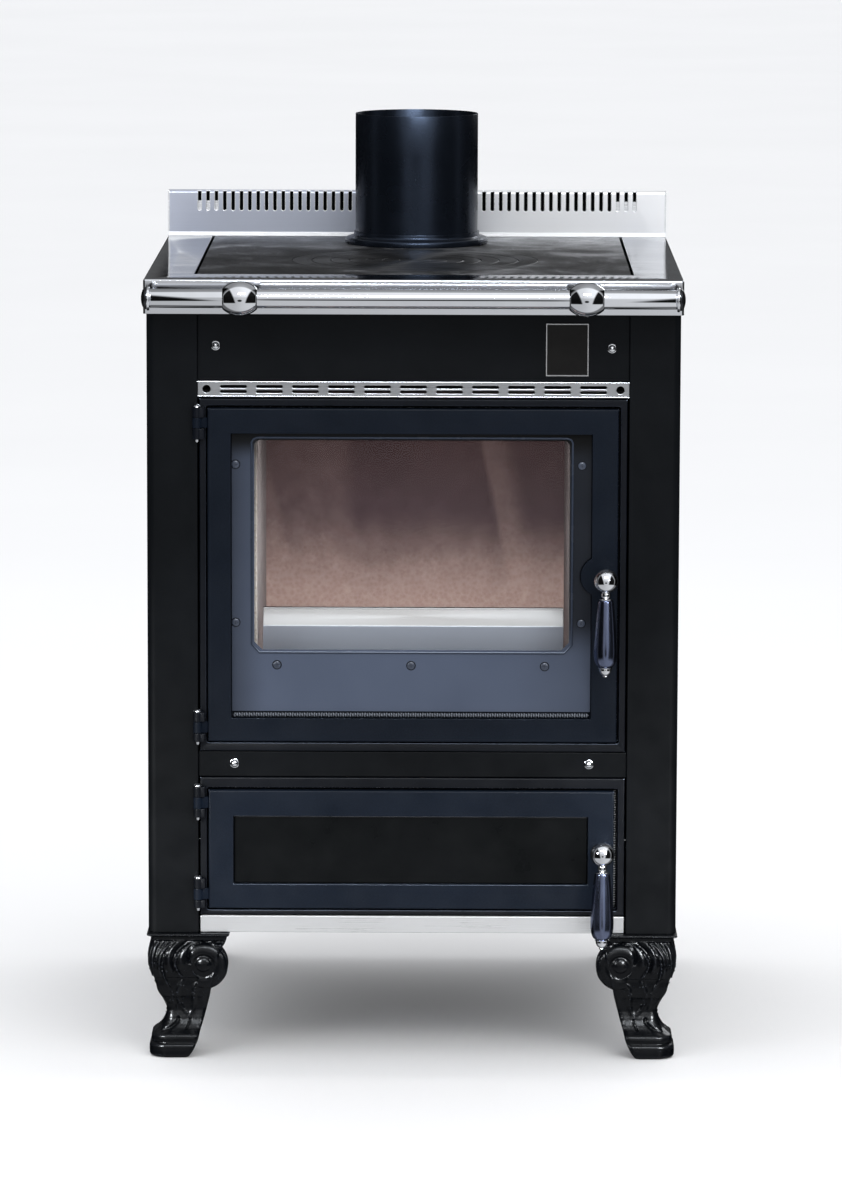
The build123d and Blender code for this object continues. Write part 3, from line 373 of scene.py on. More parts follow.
def make_ring():
    """The lift-out rings: as the plate, turned on a lathe, so the sheen runs round the centre."""
    m = Mat("ring_turned_iron")
    c = m.mapped(loc=(0, 0.020, 0))
    x, y = m.axis("X", c), m.axis("Y", c)
    r = m.math("SQRT", m.math("ADD", m.math("MULTIPLY", x, x), m.math("MULTIPLY", y, y)))
    patch = m.noise(13, 6, 0.62, None, 0.5)
    grain = m.noise(520, 3, 0.6)
    # painted sheen: the rings lightened towards the right, as on the plate
    col = m.ramp(m.math("ADD", patch, m.maprange(x, -0.14, 0.14, -0.05, 0.05)), [(0.34, (0.010, 0.010, 0.0102)), (0.52, (0.034, 0.034, 0.036)), (0.72, (0.12, 0.123, 0.132))])
    rr = m.n("ShaderNodeCombineXYZ")
    m.link(m.math("MULTIPLY", r, 1700.0), rr.inputs[0])
    turn = m.noise(1.0, 3, 0.6, rr.outputs[0])
    col = m.mix(m.maprange(turn, 0.35, 0.7, 0, 0.45), col, (0.012, 0.012, 0.0122))
    col = m.mix(m.maprange(grain, 0.6, 0.8, 0, 0.3), col, (0.2, 0.203, 0.21))
    m.color(col)
    m.rough(m.maprange(turn, 0.3, 0.7, 0.26, 0.40))
    m.bump(turn, 0.16, 0.0003)
    tg = m.n("ShaderNodeTangent", direction_type="RADIAL", axis="Z")
    m.link(tg.outputs[0], m.b.inputs["Tangent"])
    m.set(Metallic=0.55, Anisotropic=0.85, Specular_IOR_Level=0.3)
    return m.m


RING_MAT = make_ring()


def make_vermiculite():
    """Vermiculite board: pinkish beige flakes, sooted purple-brown above, washed clean in streaks by the draught."""
    m = Mat("vermiculite_board")
    flake = m.voronoi(210)
    flake2 = m.voronoi(520)
    n = m.noise(55, 5, 0.65)
    base = m.ramp(flake, [(0.05, (0.55, 0.405, 0.36)), (0.35, (0.60, 0.45, 0.405)), (0.8, (0.66, 0.52, 0.475))])
    base = m.mix(m.maprange(flake2, 0.1, 0.5, 0.18, 0), base, (0.44, 0.33, 0.29))
    base = m.mix(m.maprange(n, 0.5, 0.75, 0, 0.4), base, (0.76, 0.63, 0.58))
    z, x = m.axis("Z"), m.axis("X")
    wob = m.noise(7, 4, 0.6, m.mapped((1.0, 1, 0.7)))
    zz = m.math("ADD", z, m.maprange(wob, 0.3, 0.7, -0.008, 0.008))
    soot = m.maprange(zz, 0.462, 0.604, 0.0, 1.0, True)
    # one clean streak leans down to the right, and the left margin is washed clean
    line = m.math("ADD", x, m.math("MULTIPLY", z, 0.20))
    streak = m.math("MULTIPLY", m.maprange(line, 0.212, 0.222, 0, 1, True), m.maprange(line, 0.228, 0.262, 1, 0, True))
    left = m.maprange(m.math("ADD", x, m.math("MULTIPLY", z, 0.21)), -0.022, -0.052, 0, 1, True)
    left2 = m.maprange(m.math("ADD", x, m.math("MULTIPLY", z, 0.05)), -0.035, -0.065, 0, 0.5, True)
    clean = m.math("MULTIPLY", m.math("MAXIMUM", m.math("MAXIMUM", streak, left), left2), m.maprange(z, 0.74, 0.60, 0.25, 1.0))
    soot = m.math("MULTIPLY", soot, m.math("SUBTRACT", 1.0, m.math("MULTIPLY", clean, 0.24)))
    high = m.mix(m.maprange(zz, 0.58, 0.70, 0, 1, True), (0.072, 0.050, 0.062), (0.040, 0.018, 0.019))
    deep = m.math("MULTIPLY", m.maprange(m.math("ADD", x, m.math("MULTIPLY", z, 0.30)), 0.115, 0.155, 0, 1, True), m.maprange(m.math("ADD", x, m.math("MULTIPLY", z, 0.30)), 0.165, 0.235, 1, 0, True))
    deep = m.math("MULTIPLY", deep, m.maprange(z, 0.60, 0.69, 0, 0.55, True))
    high = m.mix(deep, high, (0.020, 0.010, 0.014))
    col = m.mix(m.math("MULTIPLY", soot, 0.965), base, high)
    col = m.mix(m.math("MULTIPLY", m.maprange(n, 0.35, 0.7, 0.3, 0), soot), col, (0.030, 0.020, 0.022))
    specks = m.maprange(m.voronoi(120), 0.0, 0.12, 1, 0)
    specks = m.math("MULTIPLY", specks, m.maprange(m.noise(30, 2), 0.50, 0.6, 0, 1))
    col = m.mix(m.math("MULTIPLY", specks, 0.75), col, (0.03, 0.02, 0.02))
    m.color(col)
    m.rough(m.maprange(n, 0.3, 0.7, 0.82, 0.95))
    m.bump(m.math("ADD", flake, m.math("MULTIPLY", n, 0.6)), 0.04, 0.0005)
    m.set(Specular_IOR_Level=0.0)
    return m.m


def make_cheek():
    """The side boards: speckled and pale at the sawn ends at the glass, grey on the long faces; painted light on the
    ends, lit from the front, and painted shade on the long faces.
    """
    m = Mat("vermiculite_cheek")
    flake = m.voronoi(330)
    n = m.noise(60, 5, 0.65)
    base = m.ramp(flake, [(0.05, (0.60, 0.50, 0.42)), (0.4, (0.80, 0.74, 0.66)), (0.8, (0.88, 0.84, 0.78))])
    dots = m.math("MULTIPLY", m.maprange(m.voronoi(170), 0.0, 0.25, 1, 0), m.maprange(m.noise(70, 2), 0.5, 0.58, 0, 1))
    base = m.mix(m.math("MULTIPLY", dots, 0.7), base, (0.24, 0.14, 0.10))
    face = m.mix(m.maprange(n, 0.35, 0.7, 0, 1), (0.30, 0.29, 0.30), (0.42, 0.40, 0.40))
    y, z = m.axis("Y"), m.axis("Z")
    # painted light and shade: the sawn ends pale, lit from the front, the long faces grey in shade
    col = m.mix(m.maprange(y, -0.2160, -0.2150, 0, 1), base, face)
    soot = m.math("MULTIPLY", m.maprange(z, 0.56, 0.72, 0, 0.85, True), m.maprange(n, 0.3, 0.7, 1.0, 0.85))
    soot = m.math("MULTIPLY", soot, m.maprange(y, -0.2160, -0.2150, 0.15, 1.0))
    col = m.mix(soot, col, (0.045, 0.042, 0.040))
    # painted shade: the right-hand board darkened
    col = m.mix(m.maprange(m.axis("X"), 0.10, 0.14, 0, 0.62, True), col, (0.050, 0.044, 0.046))
    m.color(col)
    m.rough(m.maprange(n, 0.3, 0.7, 0.8, 0.95))
    m.bump(m.math("ADD", flake, n), 0.35, 0.0008)
    m.set(Specular_IOR_Level=0.2)
    return m.m


CHEEK_MAT = make_cheek()


MATS["vermiculite"] = make_vermiculite()


def make_rope(name, lift):
    """Braided glass-fibre rope: grey yarn with pale filaments, the pale flecks partly the fibre's own colour and partly
    painted glints.
    """
    m = Mat(name)
    n = m.noise(900, 4, 0.7)
    c = m.ramp(n, [(0.34, (0.03 * lift, 0.032 * lift, 0.036 * lift)), (0.5, (0.11 * lift, 0.115 * lift, 0.125 * lift)), (0.66, (0.62, 0.64, 0.68))])
    m.color(c)
    m.rough(m.maprange(n, 0.3, 0.7, 0.75, 0.95))
    m.bump(n, 0.6, 0.0006)
    m.set(Sheen_Weight=0.25, Specular_IOR_Level=0.25)
    return m.m


def make_knit(name, along, dark, light):
    """Knitted sleeve of a rope: pale loops, one behind the other along it, over dark yarn; the pale loops are painted
    glints.
    """
    m = Mat(name)
    t = m.math("SINE", m.math("MULTIPLY", m.axis(along), 2 * math.pi / 0.0028))
    # painted glints: pale loops at a fixed pitch along the rope
    loop = m.maprange(m.math("ADD", t, m.maprange(m.noise(500, 3), 0.3, 0.7, -0.5, 0.5)), 0.25, 0.6, 0, 1, True)
    yarn = m.mix(m.maprange(m.noise(900, 4, 0.7), 0.3, 0.7, 0, 1), tuple(v * 0.6 for v in dark), dark)
    m.color(m.mix(loop, yarn, light))
    m.rough(m.maprange(m.noise(300, 2), 0.3, 0.7, 0.5, 0.7))
    m.bump(t, 0.4, 0.0006)
    m.set(Specular_IOR_Level=0.3)
    return m.m


MATS["rope_fibre"] = make_rope("rope_fibre", 1.0)
GLINT_KNIT_ACROSS = make_knit("rope_knit_glints_across", "X", (0.040, 0.046, 0.060), (0.20, 0.22, 0.26))
GLINT_ROPE_UPRIGHT = make_knit("rope_knit_glints_upright", "Z", (0.020, 0.022, 0.026), (0.85, 0.86, 0.88))


def make_grip():
    m = Mat("grip_lacquer_black")
    g = m.noise(1.0, 5, 0.6, m.mapped((260, 260, 16)))
    m.color(m.mix(m.maprange(g, 0.35, 0.7, 0, 1), (0.135, 0.157, 0.240), (0.180, 0.205, 0.305)))
    m.rough(m.maprange(g, 0.3, 0.7, 0.17, 0.22))
    m.bump(g, 0.05, 0.0003)
    m.set(Specular_IOR_Level=0.5, Metallic=1.0)
    return m.m


MATS["grip_black"] = make_grip()


def make_glass():
    """Ceramic stove glass, clear with a thin film of soot that thickens upwards."""
    m = Mat("stove_glass")
    z = m.axis("Z")
    wob = m.noise(5, 4, 0.6)
    zz = m.math("ADD", z, m.maprange(wob, 0.3, 0.7, -0.05, 0.05))
    film = m.maprange(zz, 0.52, 0.76, 0.07, 0.30, True)
    dust = m.maprange(m.noise(700, 2), 0.66, 0.8, 0, 0.10)
    m.link(m.math("ADD", film, dust, clamp=True), m.b.inputs["Alpha"])
    m.color(m.mix(m.maprange(wob, 0.3, 0.7, 0, 1), (0.035, 0.024, 0.028), (0.06, 0.045, 0.045)))
    m.rough(m.maprange(m.noise(40, 3), 0.3, 0.7, 0.03, 0.09))
    m.set(Specular_IOR_Level=0.5, Coat_Weight=1.0, Coat_Roughness=0.02)
    return m.m


MATS["glass"] = make_glass()


# ---------------------------------------------------------------------------
# geometry helpers (lengths in millimetres until a piece is made)
# ---------------------------------------------------------------------------
class Shape:
    """Vertices and faces collected from several bodies of one piece, in millimetres."""

    def __init__(self):
        self.v, self.f = [], []

    def add(self, verts, faces):
        o = len(self.v)
        self.v += [tuple(c) for c in verts]
        self.f += [tuple(i + o for i in f) for f in faces]
        return self


def make_mesh(name, shape, merge=1e-6):
    me = bpy.data.meshes.new(name)
    me.from_pydata([(x / 1000, y / 1000, z / 1000) for x, y, z in shape.v], [], shape.f)
    bm = bmesh.new()
    bm.from_mesh(me)
    bmesh.ops.remove_doubles(bm, verts=bm.verts, dist=merge)
    bmesh.ops.recalc_face_normals(bm, faces=bm.faces)
    bm.to_mesh(me)
    bm.free()
    return me


def finish_piece(ob, body, slot, mat, smooth, bevel, segs, stands_for, angle=32, edge_mat=None):
    ob.data.materials.clear()
    ob.data.materials.append(mat or MATS[slot])
    if edge_mat:
        ob.data.materials.append(edge_mat)
    for p in ob.data.polygons:
        p.use_smooth = True
    ob.data.set_sharp_from_angle(angle=math.radians(smooth))
    if bevel:
        md = ob.modifiers.new("ease", "BEVEL")
        md.width = bevel
        md.segments = segs
        md.limit_method = "ANGLE"
        md.angle_limit = math.radians(angle)
        md.use_clamp_overlap = True
        md.harden_normals = True
        if edge_mat:
            md.material = 1
    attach(ob, body)
    if stands_for:
        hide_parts(*stands_for)
    return ob


def piece(name, shape, body, slot, mat=None, smooth=36, bevel=0.0, segs=2, stands_for=()):
    me = shape if isinstance(shape, bpy.types.Mesh) else make_mesh(name, shape)
    ob = bpy.data.objects.new(name, me)
    bpy.context.scene.collection.objects.link(ob)
    return finish_piece(ob, body, slot, mat, smooth, bevel, segs, stands_for)


OWN_MAT = {"plinth_strip": PLINTH_MAT, "hinge_lugs": MOUTH_MAT, "firebox_hinge_arms": MATS["frame_cast_iron"], "ash_hinge_arms": MATS["frame_cast_iron"], "log_guard": GUARD_MAT, "vermiculite_sides": CHEEK_MAT, "firebox_front_frame": MOUTH_MAT, "ash_front_frame": MOUTH_MAT}


KEEP_FACETS = ("hob_frame",)


def refine(node, bevel=0.0, segs=2, smooth=36, mat=None, angle=32, edge_mat=None):
    """A node's own shape with its hard edges eased. It stands for the node."""
    bm = bmesh.new()
    bm.from_mesh(nodes[node].data)
    bmesh.ops.remove_doubles(bm, verts=bm.verts, dist=2e-6)
    if node not in KEEP_FACETS:
        bmesh.ops.dissolve_limit(bm, angle_limit=math.radians(0.5), verts=bm.verts, edges=bm.edges, use_dissolve_boundaries=False)
    bm.normal_update()
    me = bpy.data.meshes.new(node + "_fine")
    bm.to_mesh(me)
    bm.free()
    ob = bpy.data.objects.new(node + "_fine", me)
    bpy.context.scene.collection.objects.link(ob)
    return finish_piece(ob, body_of_node[node], slot_of_node[node], mat, smooth, bevel, segs, (node,), angle, edge_mat)


def lathe(profile, origin, axis, n=48, closed=False):
    """profile: (distance along the axis, radius) points; turned about the axis through origin."""
    a = Vector(axis).normalized()
    ref = Vector((0, 0, 1)) if abs(a.z) < 0.9 else Vector((1, 0, 0))
    u = a.cross(ref).normalized()
    v = a.cross(u)
    o = Vector(origin)
    verts, faces, rings = [], [], []
    for h, r in profile:
        if r < 1e-6:
            rings.append([len(verts)])
            verts.append(o + a * h)
        else:
            rings.append(list(range(len(verts), len(verts) + n)))
            for i in range(n):
                t = 2 * math.pi * i / n
                verts.append(o + a * h + (u * math.cos(t) + v * math.sin(t)) * r)
    pairs = list(zip(rings, rings[1:])) + ([(rings[-1], rings[0])] if closed else [])
    for p, q in pairs:
        for i in range(n):
            j = (i + 1) % n
            if len(p) == 1 and len(q) == 1:
                break
            if len(p) == 1:
                faces.append((p[0], q[j], q[i]))
            elif len(q) == 1:
                faces.append((p[i], p[j], q[0]))
            else:
                faces.append((p[i], p[j], q[j], q[i]))
    return verts, faces


def curve_through(points, per=6):
    """Catmull-Rom curve through 2-D or 3-D points."""
    pts = [Vector(p).to_3d() for p in points]
    pts = [2 * pts[0] - pts[1]] + pts + [2 * pts[-1] - pts[-2]]
    out = []
    for i in range(1, len(pts) - 2):
        p0, p1, p2, p3 = pts[i - 1:i + 3]
        for k in range(per):
            t = k / per
            out.append(0.5 * ((2 * p1) + (p2 - p0) * t + (2 * p0 - 5 * p1 + 4 * p2 - p3) * t * t + (3 * p1 - p0 - 3 * p2 + p3) * t ** 3))
    out.append(pts[-2])
    return out


def tube(points, radius, n=8, closed=False):
    """A round bar along 3-D points. radius is a number or one per point."""
    pts = [Vector(p) for p in points]
    m = len(pts)
    rad = radius if isinstance(radius, (list, tuple)) else [radius] * m
    verts, faces = [], []
    normal = None
    for i, p in enumerate(pts):
        if closed:
            d = pts[(i + 1) % m] - pts[i - 1]
        else:
            d = pts[min(i + 1, m - 1)] - pts[max(i - 1, 0)]
        d.normalize()
        if normal is None:
            normal = d.cross(Vector((0, 0, 1)) if abs(d.z) < 0.9 else Vector((1, 0, 0))).normalized()
        normal = (normal - d * normal.dot(d)).normalized()
        side = d.cross(normal)
        for k in range(n):
            t = 2 * math.pi * k / n
            verts.append(p + (normal * math.cos(t) + side * math.sin(t)) * rad[i])
    rng = range(m) if closed else range(m - 1)
    for i in rng:
        j = (i + 1) % m
        for k in range(n):
            l = (k + 1) % n
            faces.append((i * n + k, i * n + l, j * n + l, j * n + k))
    if not closed:
        faces.append(tuple(range(n - 1, -1, -1)))
        faces.append(tuple(range((m - 1) * n, m * n)))
    return verts, faces


def rope(points, r, pitch, closed=False, strands=3, step=1.8, n=6):
    """A laid rope along a polyline: round strands twisted about its middle."""
    pts = [Vector(p) for p in points]
    if closed:
        pts.append(pts[0])
    path, run = [], 0.0
    for a, b in zip(pts, pts[1:]):
        length = (b - a).length
        k = max(1, int(length / step))
        d = (b - a).normalized()
        for i in range(k):
            path.append((a.lerp(b, i / k), d, run + length * i / k))
        run += length
    if not closed:
        path.append((pts[-1], d, run))
    turns = round(run / pitch) if closed else run / pitch
    sh = Shape()
    for s in range(strands):
        line = []
        for p, d, t in path:
            e1 = Vector((0, 1, 0))
            e2 = d.cross(e1).normalized()
            ph = 2 * math.pi * (s / strands + turns * t / run)
            line.append(p + (e1 * math.cos(ph) + e2 * math.sin(ph)) * r * 0.47)
        sh.add(*tube(line, r * 0.53, n, closed))
    return sh


def block(x0, x1, y0, y1, z0, z1):
    v = [(x, y, z) for x in (x0, x1) for y in (y0, y1) for z in (z0, z1)]
    return v, [(0, 1, 3, 2), (4, 6, 7, 5), (0, 4, 5, 1), (2, 3, 7, 6), (0, 2, 6, 4), (1, 5, 7, 3)]


def prism(outline, axis, a, b):
    """A flat outline pushed along an axis from a to b. outline: 2-D points in the other two axes, in XYZ order."""
    def put(p, h):
        c = list(p)
        c.insert("XYZ".index(axis), h)
        return tuple(c)
    n = len(outline)
    v = [put(p, a) for p in outline] + [put(p, b) for p in outline]
    f = [tuple(range(n - 1, -1, -1)), tuple(range(n, 2 * n))]
    f += [(i, (i + 1) % n, n + (i + 1) % n, n + i) for i in range(n)]
    return v, f


def cut(shape, cutter):
    """shape with cutter taken out of it, as a mesh in metres."""
    obs = []
    for nm, sh in (("cut_a", shape), ("cut_b", cutter)):
        ob = bpy.data.objects.new(nm, sh if isinstance(sh, bpy.types.Mesh) else make_mesh(nm, sh))
        bpy.context.scene.collection.objects.link(ob)
        obs.append(ob)
    md = obs[0].modifiers.new("cut", "BOOLEAN")
    md.operation, md.solver, md.object = "DIFFERENCE", "EXACT", obs[1]
    dg = bpy.context.evaluated_depsgraph_get()
    me = bpy.data.meshes.new_from_object(obs[0].evaluated_get(dg))
    for ob in obs:
        bpy.data.objects.remove(ob)
    return me


def paint_node(node, mat=None):
    ob = nodes[node]
    ob.data.materials.clear()
    ob.data.materials.append(mat or MATS[slot_of_node[node]])


for n in nodes:
    paint_node(n)

# ---------------------------------------------------------------------------
# legs: a cast cabriole leg with a scroll, acanthus ribs and a two-step foot
# ---------------------------------------------------------------------------
def table(z, rows):
    for (z0, v0), (z1, v1) in zip(rows, rows[1:]):
        if z <= z1:
            return v0 + (v1 - v0) * (z - z0) / max(1e-9, z1 - z0) if z > z0 else v0
    return rows[-1][1]


# outline seen from the front, measured inward from the outermost point: outer edge, inner edge
LEG_OUT = ((0, 6.5), (1.2, 4.2), (3.2, 2.9), (8, 2.7), (13.5, 2.8), (15.2, 3.6), (16.3, 5.2), (17.4, 6.2), (19, 5.3),
           (22, 5.0), (25, 5.4), (26.8, 6.8), (28.2, 9.2), (30, 12.0), (32.2, 14.9), (37, 18.2), (42, 20.6), (47, 21.7),
           (52, 21.6), (59, 20.3), (64, 17.8), (68, 15.4), (70, 13.8), (73, 12.0), (78, 9.8), (84, 7.6), (91, 5.8),
           (92.6, 5.0), (94, 3.5), (98, 2.3), (104, 1.0), (110, 0.25), (118, 0.05), (124, 0.8), (130, 2.3), (135, 4.2),
           (139, 5.3), (141, 5.0), (142.3, 3.2), (142.9, 1.4), (143.5, 0.5), (144.2, 0.15), (144.8, 0.3), (145.4, 0.8), (145.9, 1.5), (146.3, 2.5), (146.5, 3.4))
LEG_IN = ((0, 48.8), (2, 50.2), (5, 52.5), (10, 55.4), (15, 57.8), (18, 59.3), (24, 61.0), (30, 62.4), (41, 66.0),
          (50, 68.5), (60, 71.0), (70, 73.4), (78, 74.8), (100, 79.5), (126, 85.6), (128, 87.6), (131, 89.8), (133.5, 91.4),
          (137, 92.6), (140.5, 93.6), (142.6, 94.2), (143.4, 95.8), (145, 96.8), (146.5, 96.4))
LEG_ROUND = ((0, 20), (15, 20), (27, 18), (31, 13), (46, 9), (60, 8), (80, 7), (100, 7), (130, 5), (140, 4), (142.5, 4), (146.5, 4))
SCROLL = (66.5, 107.0)
BOSS_AT = (66.4, 109.6)
RIBS = (
    # (curve in (inward, up), width, height, keen side sharpness)
    (((66, 135.6), (60, 135.4), (54.8, 134.2), (46.8, 130.4), (40.2, 125.2), (36.0, 119.4), (33.6, 111.7), (34.6, 105.4), (38.2, 98.4), (43.0, 93.0)), 1.5, 3.6),
    (((58, 134.0), (50.8, 130.4), (44.4, 124.6), (41.0, 117.6), (40.0, 110.5), (41.6, 104.5)), 4.2, 3.7),
    (((45.6, 138.0), (36.9, 135.0), (31.0, 129.6), (27.3, 122.6), (25.8, 115.7), (26.6, 108.2), (29.5, 101.0)), 3.4, 4.2),
    (((36.0, 137.2), (27.0, 127.6), (21.8, 119.6), (18.9, 111.7), (18.5, 103.7), (20.4, 94.7), (24.0, 85.7), (29.5, 77.0)), 1.3, 3.0),
    (((32.6, 137.4), (24.6, 130.9), (18.9, 124.0), (16.2, 117.4), (14.9, 109.5), (15.6, 101.0), (18.4, 91.5)), 2.3, 3.5),
    (((24.2, 137.4), (18.1, 129.8), (14.0, 122.4), (11.8, 115.0), (11.0, 106.0), (12.4, 96.0)), 1.7, 3.0),
    (((15.4, 137.4), (10.2, 129.0), (7.9, 119.6), (7.0, 110.2), (7.8, 100.4)), 2.3, 2.6),
    (((88.4, 132.8), (84.0, 131.2), (79.0, 132.4), (73.0, 134.8)), 2.3, 3.4),
    # veins that run down the shaft to the toe
    (((43.0, 93.0), (40.0, 86.0), (37.0, 78.0), (36.2, 70.0), (38.0, 61.0), (42.5, 53.0), (48.0, 46.0)), 2.1, 2.0),
    (((60.0, 88.0), (56.4, 80.0), (54.6, 72.0), (54.6, 62.0), (53.4, 53.0), (50.4, 45.0)), 2.3, 1.9),
    (((29.5, 77.0), (30.0, 69.0), (31.4, 60.0), (33.5, 52.0)), 2.0, 1.7),
)
# toe: three lobes spread over the foot, parted by two dark creases
CREASES = (
    (((36.6, 45.5), (36.2, 40.5), (33.4, 36.6), (27.4, 32.6), (19.5, 29.4), (14.0, 28.2)), 1.7, 3.4),
    (((50.6, 44.0), (50.0, 39.5), (47.2, 34.0), (45.2, 29.5)), 1.3, 2.4),
    (((47.6, 133.2), (42.0, 130.6), (36.4, 125.4), (32.2, 118.6), (30.6, 111.6), (31.4, 104.6), (34.6, 97.0)), 1.6, 1.7),
)
BEADS = ((34.0, 117.0), (33.1, 112.6), (33.7, 108.2), (35.6, 103.0), (38.6, 97.6), (22.8, 121.2), (19.0, 112.2), (18.4, 106.6),
         (18.3, 101.6), (20.8, 93.6), (24.0, 86.2), (23.2, 100.8), (9.4, 111.0), (36.5, 84.6), (40.2, 84.0), (43.4, 83.4),
         (35.4, 75.2), (53.8, 75.2), (56.4, 73.8), (55.0, 68.4), (38.0, 61.4), (41.6, 61.0), (47.8, 48.4), (50.8, 48.8), (49.2, 44.4))


def line_distance(np, U, Z, pts):
    best = np.full(U.shape, 1e9)
    along = np.zeros(U.shape)
    pts = [(p.x, p.y) for p in curve_through([(a, b, 0) for a, b in pts], 4)]
    m = len(pts) - 1
    for i in range(m):
        (ax, az), (bx, bz) = pts[i], pts[i + 1]
        dx, dz = bx - ax, bz - az
        t = np.clip(((U - ax) * dx + (Z - az) * dz) / (dx * dx + dz * dz), 0, 1)
        d = np.hypot(U - ax - t * dx, Z - az - t * dz)
        near = d < best
        best = np.where(near, d, best)
        along = np.where(near, (i + t) / m, along)
    return best, along


def leg_relief(np, U, Z):
    """Height of the casting's face over its deepest ground, in millimetres, never above 0."""
    def step(a, b, x):
        t = np.clip((x - a) / (b - a), 0, 1)
        return t * t * (3 - 2 * t)
    ground = -4.4 * step(76, 92, Z) * (1 - step(135.5, 138.5, Z)) - 2.0 * step(44, 56, Z) * (1 - step(76, 92, Z))
    h = ground.copy()
    for pts, w, a in RIBS:
        d, t = line_distance(np, U, Z, pts)
        taper = np.clip(np.minimum(t / 0.10, (1 - t) / 0.30), 0, 1) ** 0.7
        h = np.maximum(h, ground + a * taper * np.exp(-(d / w) ** 2))
    for pts, w, a in CREASES:
        d, t = line_distance(np, U, Z, pts)
        h = h - a * np.clip(np.minimum(t / 0.1, (1 - t) / 0.12), 0, 1) * np.exp(-(d / w) ** 2)
    # scroll: a rolled band that winds out from the dish, over the top and down into the shaft
    du, dz = U - SCROLL[0], Z - SCROLL[1]
    rho = np.hypot(du, dz)
    turn = np.degrees(np.arctan2(dz, -du)) % 360          # 0 at the outer side, 90 at the top
    rim = np.where(turn < 200, 14.2 + 14.1 * step(0, 72, turn), 28.3)
    rim = np.where(turn > 300, 28.3 - 14.1 * step(300, 352, turn), rim)
    inner = 13.2
    mid, half = (rim + inner) / 2, np.maximum((rim - inner) / 2, 0.6)
    roll = -4.6 + 4.5 * np.sqrt(np.clip(1 - ((rho - mid) / half) ** 2, 0, 1)) * np.clip(half / 6.0, 0, 1)
    dish = -4.0 - 0.9 * (1 - (rho / inner) ** 2)
    rb = np.hypot(U - BOSS_AT[0], Z - BOSS_AT[1])
    boss = -6.0 + 5.8 * np.sqrt(np.clip(1 - (rb / 9.8) ** 2, 0, None))
    h_scroll = np.where(rho < inner, np.maximum(dish, boss), roll)
    inside = (rho < rim) & ((turn < 292) | (rho < inner + 1.5) | (du > -2))
    blend_out = step(0.2, 2.6, rim - rho)
    h = np.where(inside, h * (1 - blend_out) + h_scroll * blend_out, h)
    # groove between the scroll and the leaf beside it
    groove = np.exp(-((rho - rim - 1.3) / 1.3) ** 2) * ((turn > 8) & (turn < 92))
    h = h - 1.8 * groove
    # rounded inner edge of shaft and foot
    edge = np.array([table(z, LEG_IN) for z in Z[:, 0]])[:, None] - U
    soft = np.where(Z < 80, 6.0, 3.0)
    e = np.clip(edge / soft, 0, 1)
    h = h - soft * 0.8 * (1 - np.sqrt(np.clip(1 - (1 - e) ** 2, 0, 1))) * (Z < 137)
    # stippled toe
    rnd = np.random.RandomState(4)
    speck = rnd.uniform(-0.28, 0.28, U.shape)
    h = h + speck * step(28.5, 31, Z) * (1 - step(42, 46, Z)) * step(30, 36, U)
    return np.minimum(h, 0.0)


